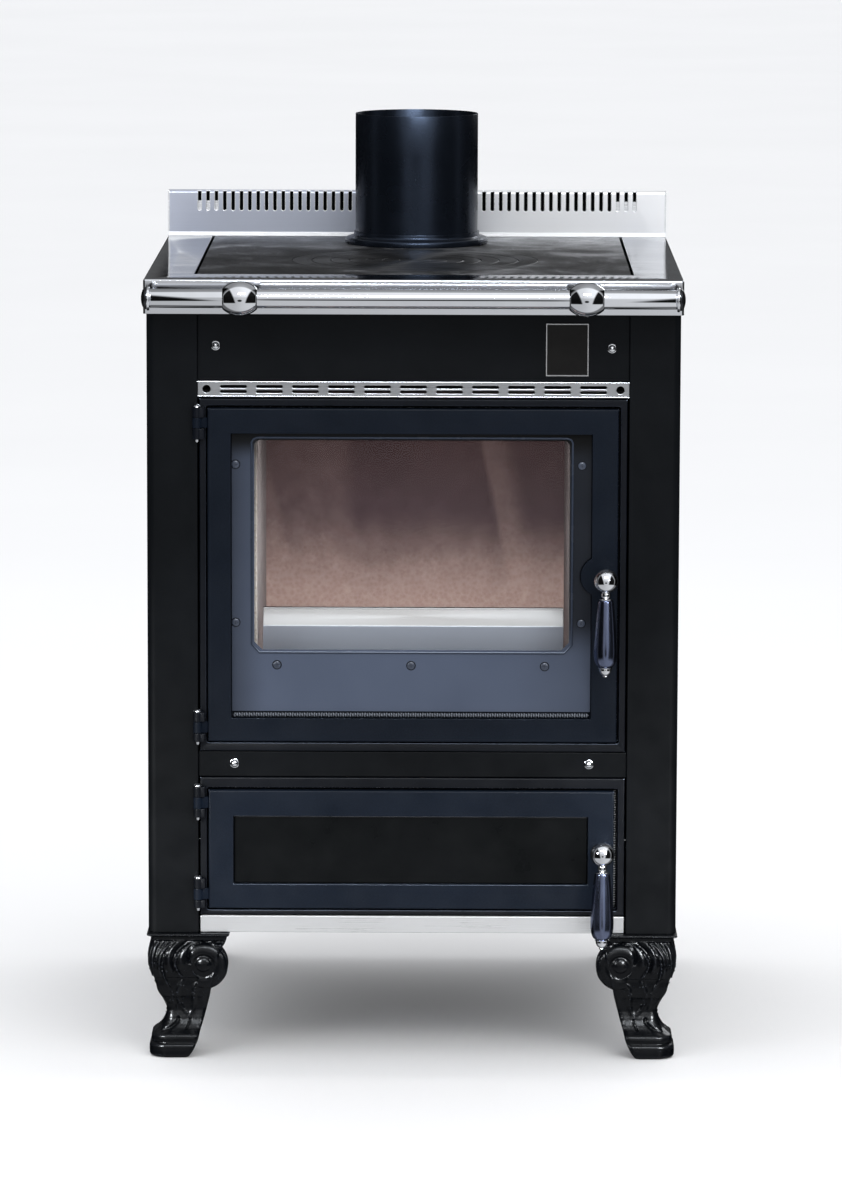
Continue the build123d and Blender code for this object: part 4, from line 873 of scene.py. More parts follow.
def make_leg_shape(dz=1.0, dense=86):
    import numpy as np
    zs = [0, 0.5, 1.2, 2.0]
    z = 3.0
    while z < 146.4:
        zs.append(z)
        z += dz
    zs += [15.4, 16.8, 63.95, 64.05, 92.3, 92.9, 93.4, 142.85, 142.95, 143.5, 144.2, 144.8, 145.4, 145.9, 146.3, 146.5]
    zs = sorted(set(round(v, 3) for v in zs))
    arcs = 6
    rows_u, rows_dir, rows_base = [], [], []
    for z in zs:
        b, rc = table(z, LEG_OUT), table(z, LEG_ROUND)
        du, dz_ = 0, z - SCROLL[1]
        r_in = table(z, LEG_IN)
        if abs(dz_) < 28.3:
            r_in = max(r_in if z < 83 or z > 126 else 0, SCROLL[0] + math.sqrt(28.3 ** 2 - dz_ ** 2))
        us, dirs, bases = [], [], []
        for k in range(arcs):
            phi = math.radians(45 + 45 * k / arcs)
            us.append(b + rc - rc * math.cos(phi))
            dirs.append((-math.cos(phi), -math.sin(phi)))
            bases.append((b + rc - rc * math.cos(phi), b + rc - rc * math.sin(phi)))
        for k in range(dense + 1):
            u = b + rc + (r_in - b - rc) * k / dense
            us.append(u)
            dirs.append((0.0, -1.0))
            bases.append((u, b))
        rows_u.append(us)
        rows_dir.append(dirs)
        rows_base.append(bases)
    U = np.array(rows_u)
    Z = np.array(zs)[:, None] * np.ones(U.shape)
    H = leg_relief(np, U, Z)
    verts, faces = [], []
    n = U.shape[1]
    per = 2 * n - 1 + 3

    def put(u, d, z):
        return (-310 + u, Y18 + d - 12.0 * (1 - z / 146.5), z)

    Y18 = -276.0 + 18.0
    for i, z in enumerate(zs):
        front_pts = [(bx + dx * h, by + dy * h) for (bx, by), (dx, dy), h in zip(rows_base[i], rows_dir[i], H[i])]
        ring = front_pts[::-1] + [(q, p) for p, q in front_pts[1:]]
        r_in = rows_u[i][-1]
        corner = (27.0, 27.0) if 64 <= z <= 142.9 else (r_in, r_in)
        ring += [(27.0 if 64 <= z <= 142.9 else r_in * 0.7, r_in), corner, (r_in, 27.0 if 64 <= z <= 142.9 else r_in * 0.7)]
        verts += [put(u, d, z) for u, d in ring]
    for i in range(len(zs) - 1):
        for k in range(per):
            a, b = i * per + k, i * per + (k + 1) % per
            faces.append((a, b, b + per, a + per))
    faces.append(tuple(range(per)))
    faces.append(tuple(range((len(zs) - 1) * per, len(zs) * per)))
    shape = Shape().add(verts, faces)
    # cast beads along the veins, on both wings
    for u, z in BEADS:
        i = min(range(len(zs)), key=lambda k: abs(zs[k] - z))
        k = int(np.argmin(np.abs(U[i] - u)))
        depth = rows_base[i][k][1] - H[i][k]
        for p in ((u, depth + 0.15), (depth + 0.15, u)):
            c = put(*p, z)
            vs, fs = lathe([(-1.15, 0), (-0.8, 0.83), (0, 1.15), (0.8, 0.83), (1.15, 0)], c, (0, 0, 1), 8)
            shape.add(vs, fs)
    return shape


leg_shape = make_leg_shape()
for leg, sx, rear in (("leg_front_left", 1, 0), ("leg_front_right", -1, 0), ("leg_rear_left", 1, 1), ("leg_rear_right", -1, 1)):
    s = Shape()
    s.f = leg_shape.f
    s.v = [(x * sx, (66.0 - y) if rear else y, z) for x, y, z in leg_shape.v]
    piece(leg + "_cast", s, body_of_node[leg], "leg_cast_iron", smooth=50, stands_for=(leg,))

# ---------------------------------------------------------------------------
# towel rail, its two barrel brackets and end caps
# ---------------------------------------------------------------------------
RAIL = (0.0, -318.0, 896.0)
piece("rail_bar", Shape().add(*lathe([(-300, 9.5), (-300, 10.6), (-299.4, 11), (-150, 11), (0, 11), (150, 11), (299.4, 11), (300, 10.6), (300, 9.5)], RAIL, (1, 0, 0), 96, closed=True)),
      "root", "chrome", stands_for=("towel_rail",))
caps, domes = Shape(), Shape()
for side in (-1, 1):
    ring = [(300, 0), (300, 12.6), (300.5, 13.7), (301.3, 14), (302.8, 14), (303.4, 13.6), (303.5, 12.6), (303.2, 11.8), (303.2, 0)]
    caps.add(*lathe(ring, (0, RAIL[1], RAIL[2]), (side, 0, 0), 64))
    dome = [(303.2, 0), (303.2, 12.2), (304.2, 12.7), (305.6, 12.5), (307.0, 11.3), (308.4, 9.0), (309.4, 5.8), (309.9, 2.8), (310, 0)]
    domes.add(*lathe(dome, (0, RAIL[1], RAIL[2]), (side, 0, 0), 64))
piece("rail_caps", caps, "root", "chrome", smooth=30, stands_for=("rail_end_caps",))
piece("rail_cap_domes", domes, "root", "chrome", CAP_DARK_REFLECTION_MAT, smooth=50)
brackets = Shape()
for cx in (-197.5, 197.5):
    prof = [(-19.75, 11.2), (-19.75, 12.1), (-19.4, 12.5)]
    for k in range(0, 33):
        h = -19.2 + 38.4 * k / 32
        prof.append((h, 19.9 - 29.46 + math.sqrt(29.46 ** 2 - h ** 2)))
    prof += [(19.4, 12.5), (19.75, 12.1), (19.75, 11.2)]
    brackets.add(*lathe(prof, (cx, RAIL[1], RAIL[2]), (1, 0, 0), 96, closed=True))
    stem = [(0, 12.0), (1.2, 12.0), (2.4, 11.4), (3.2, 10.0), (4.0, 8.6), (6.5, 7.6), (12, 7.2), (20, 7.6), (26, 8.6), (28, 9.2)]
    brackets.add(*lathe([(0, 0)] + stem + [(28, 0)], (cx, -276.0, RAIL[2]), (0, -1, 0), 64))
piece("rail_barrels", brackets, "root", "chrome", smooth=32, stands_for=("rail_brackets",))

# ---------------------------------------------------------------------------
# door handles: chrome ball on a spindle, turned grip hanging from it
# ---------------------------------------------------------------------------
def handle(kx, kz, which, door_handle):
    by = -284.0
    spin = Shape()
    ball = [(14.2 * math.sin(math.radians(a)), 14.2 * math.cos(math.radians(a))) for a in range(-90, 91, 6)]
    spin.add(*lathe([(h, max(r, 0)) for h, r in ball], (kx, by, kz), (0, 0, 1), 64))
    y = by + 10
    spin.add(*lathe([(0, 0), (0, 6.2), (2, 5.4), (5, 5.0), (7.0, 5.4), (7.6, 8.0), (9.0, 8.0), (12, 8.0), (17.6, 8.0), (17.6, 4.5), (62.6, 4.5), (62.6, 0)], (kx, y, kz), (0, 1, 0), 48))
    piece(which + "_spindle_turned", spin, door_handle, "chrome", smooth=40, stands_for=(which + "_spindle",))
    prof = curve_through([(-22.0, 8.1), (-23.4, 8.9), (-33.0, 10.1), (-46.0, 11.4), (-60.0, 12.5), (-74.0, 13.4), (-82.0, 13.6), (-88.0, 13.3), (-94.0, 12.1), (-97.6, 10.5), (-99.0, 9.2)], 5)
    pts = [(-21.6, 0), (-21.6, 7.4)] + [(p.x, p.y) for p in prof] + [(-99.4, 8.4), (-99.4, 0)]
    piece(which + "_grip_turned", Shape().add(*lathe(pts, (kx, by, kz), (0, 0, 1), 64)), door_handle, "grip_black", smooth=40, stands_for=(which + "_grip",))
    trim = Shape()
    neck = [(-11.6, 0), (-11.6, 4.0), (-12.6, 4.5), (-14.0, 5.1), (-15.8, 5.5), (-17.6, 5.4), (-19.2, 4.9), (-20.1, 4.4), (-20.3, 4.5), (-20.5, 7.4), (-20.9, 7.8), (-21.4, 7.7), (-21.6, 7.2), (-21.6, 0)]
    foot = [(-99.4, 0), (-99.4, 6.0), (-100.0, 6.5), (-100.3, 8.0), (-100.7, 8.4), (-101.3, 8.3), (-101.6, 7.2), (-102.4, 7.3), (-104.0, 7.2), (-105.8, 6.7), (-107.4, 5.9),
            (-108.8, 4.8), (-109.6, 3.6), (-110.1, 3.0), (-110.8, 3.3), (-111.6, 3.2), (-112.4, 2.3), (-112.8, 0)]
    for prof in (neck, foot):
        trim.add(*lathe(prof, (kx, by, kz), (0, 0, 1), 48))
    piece(which + "_trim_turned", trim, door_handle, "chrome", smooth=40, stands_for=(which + "_trim",))


handle(222.6, 567.5, "firebox_handle", "firebox_handle")
handle(220.9, 247.1, "ash_handle", "ash_handle")

# ---------------------------------------------------------------------------
# laid rope: round the two door mouths and along the foot of the glass recess
# ---------------------------------------------------------------------------
lo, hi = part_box("door_rope_seals")
seals = Shape()
for x0, x1, z0, z1 in ((-238.0, 238.0, 373.0, 764.5), (-238.0, 238.0, 175.0, 317.5)):
    i = 3.3
    loop = [(x0 + i, -236.8, z0 + i), (x1 - i, -236.8, z0 + i), (x1 - i, -236.8, z1 - i), (x0 + i, -236.8, z1 - i)]
    r = rope(loop, 2.75, 13, closed=True)
    seals.add(r.v, r.f)
piece("door_ropes", seals, "root", "rope_fibre", GLINT_ROPE_UPRIGHT, smooth=70, stands_for=("door_rope_seals",))
gasket = rope([(-208, -250.0, 404.8), (204, -250.0, 404.8)], 2.75, 8.4, strands=2, step=1.2)
gasket.add(*block(-199, 189, -242.8, -241.8, 469, 477))
gasket.add(*block(-199, 189, -242.8, -241.8, 728, 730))
gasket.add(*block(-199, -189, -242.8, -241.8, 477, 728))
gasket.add(*block(185, 189, -242.8, -241.8, 477, 728))
piece("glass_ropes", gasket, "firebox_door", "rope_fibre", GLINT_KNIT_ACROSS, smooth=70, stands_for=("glass_gasket",))

# ---------------------------------------------------------------------------
# backsplash: folded channel with a row of round-footed slots
# ---------------------------------------------------------------------------
def make_backsplash():
    yf, yb, t = 316.0, 338.0, 1.5
    def section(x):
        out = [(yf, 874.0), (yf, 966.8)]
        for k in range(1, 7):
            a = math.radians(15 * k)
            out.append((yf + 3.2 - 3.2 * math.cos(a), 966.8 + 3.2 * math.sin(a)))
        out += [(yb - 3.2, 970.0)]
        for k in range(1, 7):
            a = math.radians(15 * k)
            out.append((yb - 3.2 + 3.2 * math.sin(a), 966.8 + 3.2 * math.cos(a)))
        out += [(yb, 874.0), (yb - t, 874.0), (yb - t, 968.4), (yf + t, 968.4), (yf + t, 874.0)]
        return out
    body = Shape().add(*prism(section(0), "X", -308.6, 308.6))
    cutter = Shape()
    for k in range(53):
        cx = (k - 26) * 10.4
        r = 4.15 / 2
        out = [(cx + r, 975.0)] + [(cx + r * math.cos(math.radians(-a)), 945.5 + r + r * math.sin(math.radians(-a))) for a in range(0, 181, 20)] + [(cx - r, 975.0)]
        v, f = prism(out, "Y", 300.0, 324.0)
        cutter.add(v, f)
    me = cut(body, cutter)
    ob = piece("backsplash_folded", me, "root", "brushed_stainless", BACKSPLASH_MAT, smooth=30, bevel=0.5, segs=2, stands_for=("backsplash",))
    # the inside faces of the channel, picked below, take the near-black paint: painted shade
    ob.data.materials.append(CHANNEL_SHADE_BLACK)
    ob.data.materials.append(SLOT_EDGE_HIGHLIGHT)
    # the eased edges take the paler steel: a painted highlight
    ob.modifiers["ease"].material = 2
    for p in ob.data.polygons:
        c = p.center * 1000
        if yf + t - 0.02 < c.y < yb - t + 0.02 and c.z < 968.42 and abs(p.normal.x) < 0.5 and abs(c.x) < 308.5:
            p.material_index = 1
    trims = Shape()
    for side in (-1, 1):
        # closed ends, a hair proud, and the tabs folded up behind the last three slots
        x0, x1 = sorted((side * 308.6, side * 310.0))
        end = [(yf + 0.0, 874.0), (yf + 0.0, 969.0), (yf + 1.0, 970.0), (yb - 1.0, 970.0), (yb, 969.0), (yb, 874.0)]
        trims.add(*prism(end, "X", x0, x1))
        x0, x1 = sorted((side * 246.0, side * 276.0))
        trims.add(*block(x0, x1, yf + 1.9, yf + 2.7, 938.0, 957.5))
    # hem that meets the hob along the foot of the upstand
    hem = [(yf + 0.2, 914.0), (yf - 3.4, 914.0), (yf - 3.5, 914.3), (yf - 2.6, 915.1), (yf - 1.6, 916.3), (yf - 0.7, 917.6), (yf - 0.1, 918.9), (yf + 0.2, 919.0)]
    trims.add(*prism(hem, "X", -309.2, 309.2))
    piece("backsplash_trims", trims, "root", "polished_stainless", SLOT_EDGE_HIGHLIGHT, smooth=30, bevel=0.25, segs=2)


make_backsplash()

# ---------------------------------------------------------------------------
# air strip: a pressed strip with rolled edges and paired slots
# ---------------------------------------------------------------------------
def make_vent_strip():
    body = Shape().add(*block(-247.0, 247.0, -251.0, -249.0, 775.8, 794.2))
    lo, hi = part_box("vent_strip")
    body = Shape().add(*block(lo.x * 1000, hi.x * 1000, -250.8, -249.0, lo.z * 1000 + 0.5, hi.z * 1000 - 0.5))
    cutter = Shape()
    for k in range(11):
        for j in (-1, 1):
            cx, cz, r = (k - 5) * 41.5, 785.0 + j * 2.9, 1.65
            half = 30.5 / 2 - r
            out = [(cx + half + r * math.cos(math.radians(a)), cz + r * math.sin(math.radians(a))) for a in range(-90, 91, 20)]
            out += [(cx - half - r * math.cos(math.radians(a)), cz - r * math.sin(math.radians(a))) for a in range(-90, 91, 20)]
            cutter.add(*prism(out, "Y", -254.0, -246.0))
    for cx in (-238.5, 238.5):
        out = [(cx + 4.45 * math.cos(math.radians(a)), 785.0 + 4.45 * math.sin(math.radians(a))) for a in range(0, 360, 15)]
        cutter.add(*prism(out, "Y", -254.0, -246.0))
    me = cut(body, cutter)
    piece("vent_strip_pressed", me, "root", "brushed_stainless", smooth=30, bevel=0.22, segs=2, stands_for=("vent_strip",))
    rolls = Shape()
    for z in (lo.z * 1000 + 0.8, hi.z * 1000 - 0.8):
        rolls.add(*tube([(lo.x * 1000, -250.5, z), (0, -250.5, z), (hi.x * 1000, -250.5, z)], 0.8, 12))
    piece("vent_strip_rolls", rolls, "root", "polished_stainless", smooth=50)


make_vent_strip()

# ---------------------------------------------------------------------------
# small fixings
# ---------------------------------------------------------------------------
nuts = Shape()
for x, z in ((-228, 835), (228.5, 833), (-207, 347), (205.3, 347)):
    nuts.add(*lathe([(0, 0), (0, 5.3), (0.35, 5.3), (0.6, 4.9), (0.7, 4.3), (1.2, 4.45), (1.8, 4.4), (2.5, 4.05), (3.2, 3.4), (3.8, 2.6), (4.25, 1.7), (4.5, 0.85), (4.6, 0)], (x, -249.0, z), (0, -1, 0), 32))
    nuts.add(*lathe([(0, 0), (0, 2.4), (-1.9, 2.4), (-1.9, 0)], (x, -249.0, z), (0, -1, 0), 16))
piece("dome_nuts_turned", nuts, "root", "chrome", smooth=40, stands_for=("panel_dome_nuts",))
screws, drives = Shape(), Shape()
for x, z in ((-205.3, 697.5), (-205.3, 513.0), (195.0, 697.0), (195.0, 513.0), (-157.5, 463.3), (-2.0, 462.8), (153.0, 462.3)):
    screws.add(*lathe([(-7.2, 0), (-7.2, 1.6), (0, 1.6), (0, 4.4), (0.35, 4.5), (0.9, 3.9), (1.3, 2.6), (1.4, 1.2), (1.4, 0)], (x, -250.0, z), (0, -1, 0), 36))
    w, h = 0.5, 2.3
    cross = [(w, w), (h, w), (h, -w), (w, -w), (w, -h), (-w, -h), (-w, -w), (-h, -w), (-h, w), (-w, w), (-w, h), (w, h)]
    drives.add(*prism([(x + p, z + q) for p, q in cross], "Y", -252.6, -250.5))
# painted shade: a near-black seat ring round each screw head, for the shadow in its countersink
seat_shade_rings = Shape()
for x, z in ((-205.3, 697.5), (-205.3, 513.0), (195.0, 697.0), (195.0, 513.0), (-157.5, 463.3), (-2.0, 462.8), (153.0, 462.3)):
    seat_shade_rings.add(*lathe([(-0.4, 3.6), (0.05, 3.6), (0.12, 4.4), (0.24, 5.0), (0.12, 5.5), (-0.4, 5.7)], (x, -250.0, z), (0, -1, 0), 36))
piece("retainer_screw_seats_shade", seat_shade_rings, "firebox_door", "retainer_paint", MOUTH_MAT, smooth=35)
piece("retainer_screws_turned", cut(screws, drives), "firebox_door", "hinge_steel", SCREW_MAT, smooth=35, stands_for=("retainer_screws",))
piece("log_guard_hems", Shape().add(*tube([(-175.5, -171.0, 518.2), (175.5, -171.0, 518.2)], 1.7, 14)), "root", "polished_stainless", HEM_MAT, smooth=60)
# pressed bead round the window of the retainer
bead = [(-186.6, -250.3, 487.0), (-186.6, -250.3, 723.5), (-184.4, -250.3, 727.0), (-180.0, -250.3, 728.8), (178.0, -250.3, 728.8), (182.4, -250.3, 727.0),
        (184.2, -250.3, 723.5), (184.2, -250.3, 487.0), (175.5, -250.3, 477.8), (-177.9, -250.3, 477.8)]
piece("window_bead", Shape().add(*tube(bead, 1.2, 12, closed=True)), "firebox_door", "retainer_paint", BEAD_MAT, smooth=60)

# ---------------------------------------------------------------------------
# flue pipe and its collar
# ---------------------------------------------------------------------------
FLUE = (0.0, 224.0, 914.0)
pipe = [(0, 73.5), (0, 75), (15.2, 75), (60, 75), (110, 75), (158.4, 75), (159, 74.7), (159, 73.8), (158.4, 73.5), (80, 73.5)]
piece("flue_pipe_rolled", Shape().add(*lathe(pipe, FLUE, (0, 0, 1), 128, closed=True)), "root", "flue_black", smooth=40, stands_for=("flue_pipe",))
collar = [(0, 75.25), (0, 86.2), (0.4, 86.9), (1.4, 87.4), (3.4, 87.5), (5.4, 87.4), (6.6, 86.8), (7.4, 85.8), (7.9, 84.4), (8.2, 82.0), (8.6, 79.8), (9.4, 78.2), (10.6, 77.3), (12.0, 77.0), (14.2, 77.0), (14.8, 76.8), (15.0, 76.4), (15.0, 75.3)]
piece("flue_collar_cast", Shape().add(*lathe(collar, FLUE, (0, 0, 1), 128, closed=True)), "root", "flue_black", smooth=32, stands_for=("flue_collar",))

# ---------------------------------------------------------------------------
# the remaining pieces keep their own shape, with eased edges
# ---------------------------------------------------------------------------
for node, width, segs in (
    ("left_side_panel", 0.5, 2), ("right_side_panel", 0.5, 2), ("upper_fascia", 0.3, 1), ("lower_cross_panel", 0.4, 2),
    ("base_pan", 0.4, 1), ("rear_panel", 0.4, 1), ("plinth_strip", 0.4, 2), ("badge_plate", 0.3, 2),
    ("firebox_front_frame", 0.9, 2), ("ash_front_frame", 0.9, 2), ("firebox_door_frame", 1.0, 3), ("ash_door_frame", 1.0, 3),
    ("glass_retainer_plate", 0.6, 2), ("ash_door_panel", 0.4, 2), ("door_glass", 0.4, 2),
    ("firebox_shell", 0.4, 1), ("smoke_chamber", 0.4, 1), ("ash_box", 0.4, 1), ("ash_pan", 0.5, 2), ("log_guard", 0.5, 2),
    ("hearth_brick", 0.8, 2), ("vermiculite_back", 1.2, 2), ("vermiculite_sides", 1.2, 2), ("baffle_plate", 1.2, 2), ("fire_grate", 0.8, 2),
    ("hob_frame", 0.45, 2),
    ("hinge_lugs", 0.4, 2), ("firebox_hinge_arms", 0.4, 2), ("ash_hinge_arms", 0.4, 2), ("hinge_pins", 0.15, 1),
    ("firebox_latch_tongue", 0.5, 2), ("ash_latch_tongue", 0.5, 2), ("leg_bolts", 0.4, 1),
    ("air_shutter", 0.3, 2), ("air_shutter_guides", 0.3, 1),
):
    refine(node, width, segs, mat=OWN_MAT.get(node), edge_mat=MATS["frame_edge"] if slot_of_node[node] == "frame_cast_iron" and "hinge" not in node else None)

# ---------------------------------------------------------------------------
# hob: plate with a rebated round opening, two lift-out rings and the plug
# ---------------------------------------------------------------------------
RINGS_AT = (0.0, -20.0, 906.0)


def round_corner_box(x0, x1, y0, y1, r, k=6):
    out = []
    for cx, cy, a0 in ((x1 - r, y1 - r, 0), (x0 + r, y1 - r, 90), (x0 + r, y0 + r, 180), (x1 - r, y0 + r, 270)):
        out += [(cx + r * math.cos(math.radians(a0 + 90 * i / k)), cy + r * math.sin(math.radians(a0 + 90 * i / k))) for i in range(k + 1)]
    return out


def disc(cx, cy, r, n=128):
    return [(cx + r * math.cos(2 * math.pi * i / n), cy + r * math.sin(2 * math.pi * i / n)) for i in range(n)]


hob_slab = Shape().add(*prism(round_corner_box(-251, 251, -207, 310, 4), "Z", 906.0, 914.0))
hob_slab = cut(hob_slab, Shape().add(*prism(disc(0, -20, 141.5), "Z", 900.0, 920.0)))
hob_slab = cut(hob_slab, Shape().add(*prism(disc(0, -20, 146.2), "Z", 910.0, 920.0)))
hob_slab = cut(hob_slab, Shape().add(*prism(disc(0, 224, 74.2), "Z", 900.0, 920.0)))
piece("hob_plate_ground", hob_slab, "root", "hob_cast_iron", smooth=25, bevel=0.45, segs=2, stands_for=("hob_plate",))


def ring(name, lap_in, top_in, lap_out, top_out, groove, body, node):
    prof = [(0, lap_in), (0, lap_out), (4, lap_out), (4, top_out), (7.6, top_out), (8, top_out - 0.4)]
    if groove:
        prof += [(8, groove + 0.9), (7.75, groove + 0.65), (7, groove + 0.5), (7, groove - 0.5), (7.75, groove - 0.65), (8, groove - 0.9)]
    prof += [(8, top_in + 0.4), (7.6, top_in), (4, top_in), (4, lap_in)]
    piece(name, Shape().add(*lathe(prof, RINGS_AT, (0, 0, 1), 160, closed=True)), body, "hob_cast_iron", RING_MAT, smooth=25, stands_for=(node,))


ring("ring_outer_turned", 95.7, 100.4, 141.0, 145.7, 122.8, "hob_ring_outer", "hob_ring_outer")
ring("ring_inner_turned", 53.6, 58.3, 95.2, 99.9, 78.3, "hob_ring_inner", "hob_ring_inner")
plug = Shape().add(*lathe([(0, 0), (0, 53.1), (4, 53.1), (4, 57.8), (7.6, 57.8), (8, 57.4), (8, 38.9), (7.4, 38.5), (7.4, 38.1), (8, 37.7), (8, 19.2), (7.5, 18.9), (7.5, 18.5), (8, 18.2), (8, 0)], RINGS_AT, (0, 0, 1), 160))
notch = Shape().add(*prism(round_corner_box(-59.8, -47.8, -12.5, -5.5, 1.5), "Z", 911.0, 920.0))
piece("plug_turned", cut(plug, notch), "hob_plug", "hob_cast_iron", RING_MAT, smooth=25, stands_for=("hob_plug",))


# ---------------------------------------------------------------------------
# camera, floor and lights
# ---------------------------------------------------------------------------
def set_camera():
    pitch, yaw, roll, f_px = 0.14668, -0.00551, 0.00288, 5845.27
    fwd = Vector((math.sin(yaw) * math.cos(pitch), math.cos(yaw) * math.cos(pitch), -math.sin(pitch)))
    right = Vector((math.cos(yaw), -math.sin(yaw), 0))
    up = right.cross(fwd)
    r2 = right * math.cos(roll) + up * math.sin(roll)
    u2 = -right * math.sin(roll) + up * math.cos(roll)
    cam = bpy.data.objects.new("camera", bpy.data.cameras.new("camera"))
    bpy.context.scene.collection.objects.link(cam)
    cam.data.sensor_width = 36
    cam.data.lens = f_px / 1200 * 36
    cam.data.clip_end = 200
    rot = Matrix((r2, u2, -fwd)).transposed()
    cam.matrix_world = Matrix.Translation((0.0463, -6.94794, 1.52944)) @ rot.to_4x4()
    bpy.context.scene.camera = cam


set_camera()


def set_floor():
    bm = bmesh.new()
    bmesh.ops.create_grid(bm, x_segments=2, y_segments=2, size=60)
    me = bpy.data.meshes.new("floor")
    bm.to_mesh(me)
    bm.free()
    floor = bpy.data.objects.new("floor", me)
    bpy.context.scene.collection.objects.link(floor)
    m = Mat("floor_pale")
    m.color(m.mix(m.maprange(m.noise(0.8, 3), 0.3, 0.7, 0, 1), (0.865, 0.865, 0.87), (0.885, 0.885, 0.89)))
    m.rough(0.75)
    m.set(Specular_IOR_Level=0.15)
    me.materials.append(m.m)
    floor.visible_glossy = False


set_floor()


def area(name, loc, target, size, energy, color=(1, 1, 1), spread=math.pi):
    l = bpy.data.lights.new(name, "AREA")
    l.shape = "RECTANGLE"
    l.size, l.size_y = size
    l.energy = energy
    l.color = color
    l.spread = spread
    o = bpy.data.objects.new(name, l)
    bpy.context.scene.collection.objects.link(o)
    o.location = loc
    o.rotation_euler = (Vector(target) - Vector(loc)).to_track_quat("-Z", "Y").to_euler()
    return o


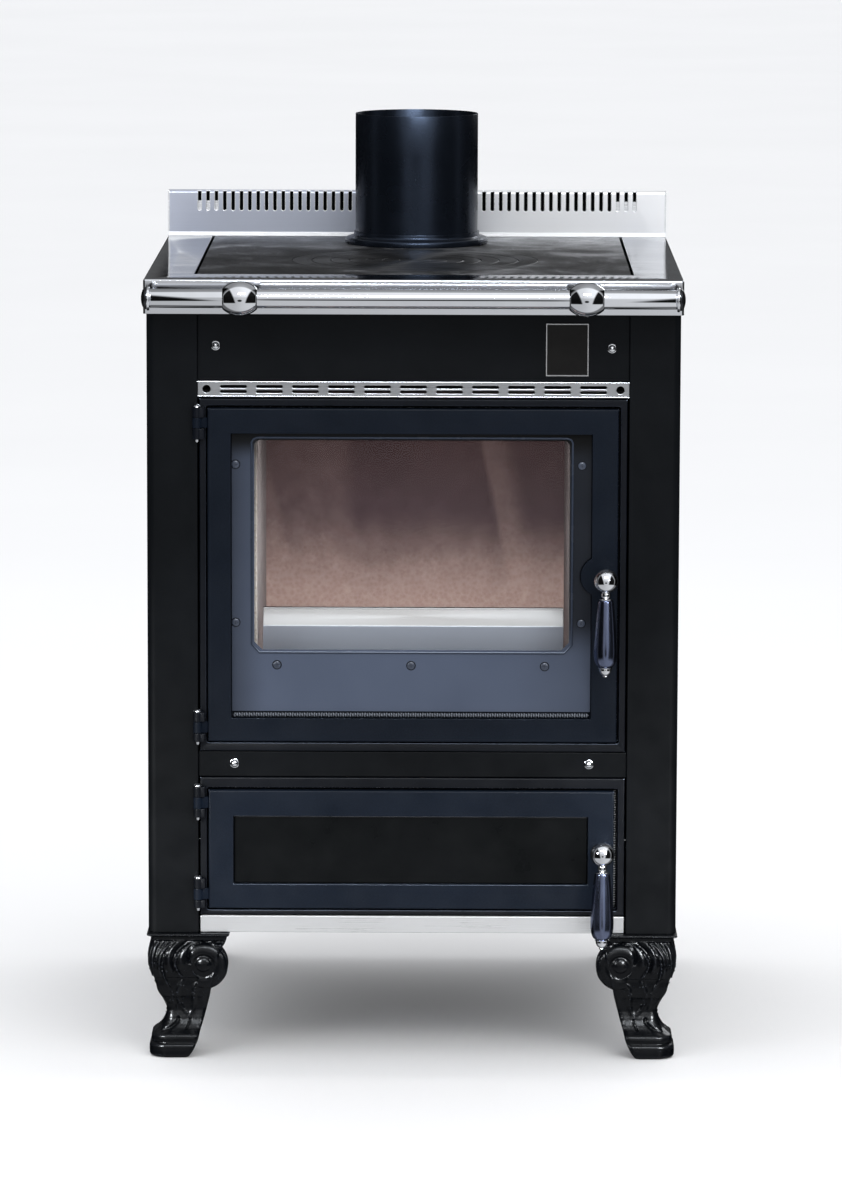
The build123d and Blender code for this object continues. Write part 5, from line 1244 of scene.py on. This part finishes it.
def set_world():
    """A pale room for soft light; what shiny metal mirrors is darker at eye level and at the sides, bright overhead."""
    w = bpy.data.worlds.new("studio")
    bpy.context.scene.world = w
    w.use_nodes = True
    t = w.node_tree
    t.nodes.clear()

    def node(kind, **props):
        nd = t.nodes.new(kind)
        for k, v in props.items():
            setattr(nd, k, v)
        return nd

    def calc(op, a, b=None):
        m = node("ShaderNodeMath", operation=op)
        for i, v in enumerate((a, b)):
            if isinstance(v, (int, float)):
                m.inputs[i].default_value = v
            elif v is not None:
                t.links.new(v, m.inputs[i])
        return m.outputs[0]

    def ramp_over(v, a, b, c, d):
        m = node("ShaderNodeMapRange", interpolation_type="SMOOTHSTEP")
        for k, val in (("From Min", a), ("From Max", b), ("To Min", c), ("To Max", d)):
            m.inputs[k].default_value = val
        t.links.new(v, m.inputs["Value"])
        return m.outputs[0]

    out = node("ShaderNodeOutputWorld")
    tc = node("ShaderNodeTexCoord")
    sep = node("ShaderNodeSeparateXYZ")
    t.links.new(tc.outputs["Generated"], sep.inputs[0])
    x, y, z = sep.outputs
    # what shiny metal mirrors: a pale floor, a soft panel in front with a dark spot in its middle, a brighter one overhead
    low = ramp_over(z, -0.46, -0.38, 0.66, 0.0)
    sx = calc("DIVIDE", x, 0.17)
    sz = calc("DIVIDE", calc("ADD", z, 0.165), 0.125)
    spot = calc("SQRT", calc("ADD", calc("MULTIPLY", sx, sx), calc("MULTIPLY", sz, sz)))
    mid = calc("MULTIPLY", ramp_over(z, -0.46, -0.38, 0.0, 0.66), ramp_over(spot, 0.75, 1.25, 0.04, 1.0))
    front = calc("ADD", calc("ADD", low, mid), ramp_over(z, 0.10, 0.42, 0.0, 0.42))
    back = calc("ADD", calc("ADD", calc("MULTIPLY", low, 0.25), calc("MULTIPLY", ramp_over(z, 0.20, 0.34, 0.13, 0.02), ramp_over(z, 0.02, 0.07, 0.0, 1.0))), calc("ADD", ramp_over(z, 0.48, 0.56, 0.0, 0.32), ramp_over(z, 0.84, 0.97, 0.0, 0.10)))
    ahead = ramp_over(y, 0.10, -0.12, 0.0, 1.0)
    tone = calc("ADD", calc("MULTIPLY", front, ahead), calc("MULTIPLY", back, calc("SUBTRACT", 1.0, ahead)))
    # the sides of the room are dark down to the floor
    edge = calc("SUBTRACT", calc("ABSOLUTE", calc("SUBTRACT", x, 0.04)), calc("ADD", calc("MULTIPLY", z, 0.24), 0.46))
    side = calc("MULTIPLY", ramp_over(edge, -0.06, 0.06, 0.0, 0.99), ramp_over(z, -0.46, -0.40, 0.0, 1.0))
    # a narrow grey panel square on either side, for the flanks of the stove
    side = calc("MULTIPLY", side, ramp_over(calc("ABSOLUTE", y), 0.10, 0.17, 0.55, 1.0))
    tone = calc("MULTIPLY", tone, calc("SUBTRACT", 1.0, side))
    tone = calc("MULTIPLY", tone, ramp_over(x, -0.5, 0.5, 0.85, 1.12))
    gloss = node("ShaderNodeBackground")
    gloss.inputs["Color"].default_value = (0.955, 0.975, 1.0, 1)
    t.links.new(tone, gloss.inputs["Strength"])
    soft = node("ShaderNodeBackground")
    soft.inputs["Color"].default_value = (0.97, 0.98, 1.0, 1)
    soft.inputs["Strength"].default_value = 1.10
    seen = node("ShaderNodeBackground")
    seen.inputs["Color"].default_value = (0.93, 0.93, 0.93, 1)
    lp = node("ShaderNodeLightPath")
    mix = node("ShaderNodeMixShader")
    mix2 = node("ShaderNodeMixShader")
    t.links.new(lp.outputs["Is Glossy Ray"], mix.inputs["Fac"])
    t.links.new(soft.outputs[0], mix.inputs[1])
    t.links.new(gloss.outputs[0], mix.inputs[2])
    t.links.new(lp.outputs["Is Camera Ray"], mix2.inputs["Fac"])
    t.links.new(mix.outputs[0], mix2.inputs[1])
    t.links.new(seen.outputs[0], mix2.inputs[2])
    t.links.new(mix2.outputs[0], out.inputs["Surface"])


set_world()
bpy.context.scene.view_settings.view_transform = "Standard"
key = area("key", (1.6, -3.2, 3.4), (0, 0, 0.6), (2.2, 1.4), 34, (1.0, 0.99, 0.97))
fill = area("fill", (-3.0, -2.4, 2.6), (0, 0, 0.5), (1.2, 2.2), 12, (0.93, 0.96, 1.0))
top = area("top", (0.0, 0.3, 4.0), (0, 0, 0.8), (3.0, 2.2), 30)
spark = area("spark", (0.3, -2.8, 2.9), (0, 0, 0.4), (1.7, 0.6), 85, (0.88, 0.94, 1.0))
toe_l = area("toe_l", (-0.95, -1.15, 0.70), (-0.25, -0.27, 0.08), (0.34, 0.26), 3.6, (0.92, 0.96, 1.0), math.radians(40))
toe_r = area("toe_r", (0.75, -1.15, 0.70), (0.25, -0.27, 0.08), (0.34, 0.26), 2.6, (0.92, 0.96, 1.0), math.radians(40))
rim = area("rim", (1.5, 3.1, 2.0), (0, 0, 0.8), (1.0, 1.0), 16, (0.95, 0.97, 1.0))
hearth = area("hearth", (0.0, -0.19, 0.735), (0.0, 0.10, 0.45), (0.30, 0.03), 1.1, (1.0, 0.94, 0.92))
spark.visible_diffuse = rim.visible_diffuse = toe_l.visible_diffuse = toe_r.visible_diffuse = False
for lamp in (key, fill, top, spark, toe_l, toe_r, rim, hearth):
    lamp.visible_camera = False
for lamp in (key, fill, top, hearth):
    lamp.visible_glossy = False
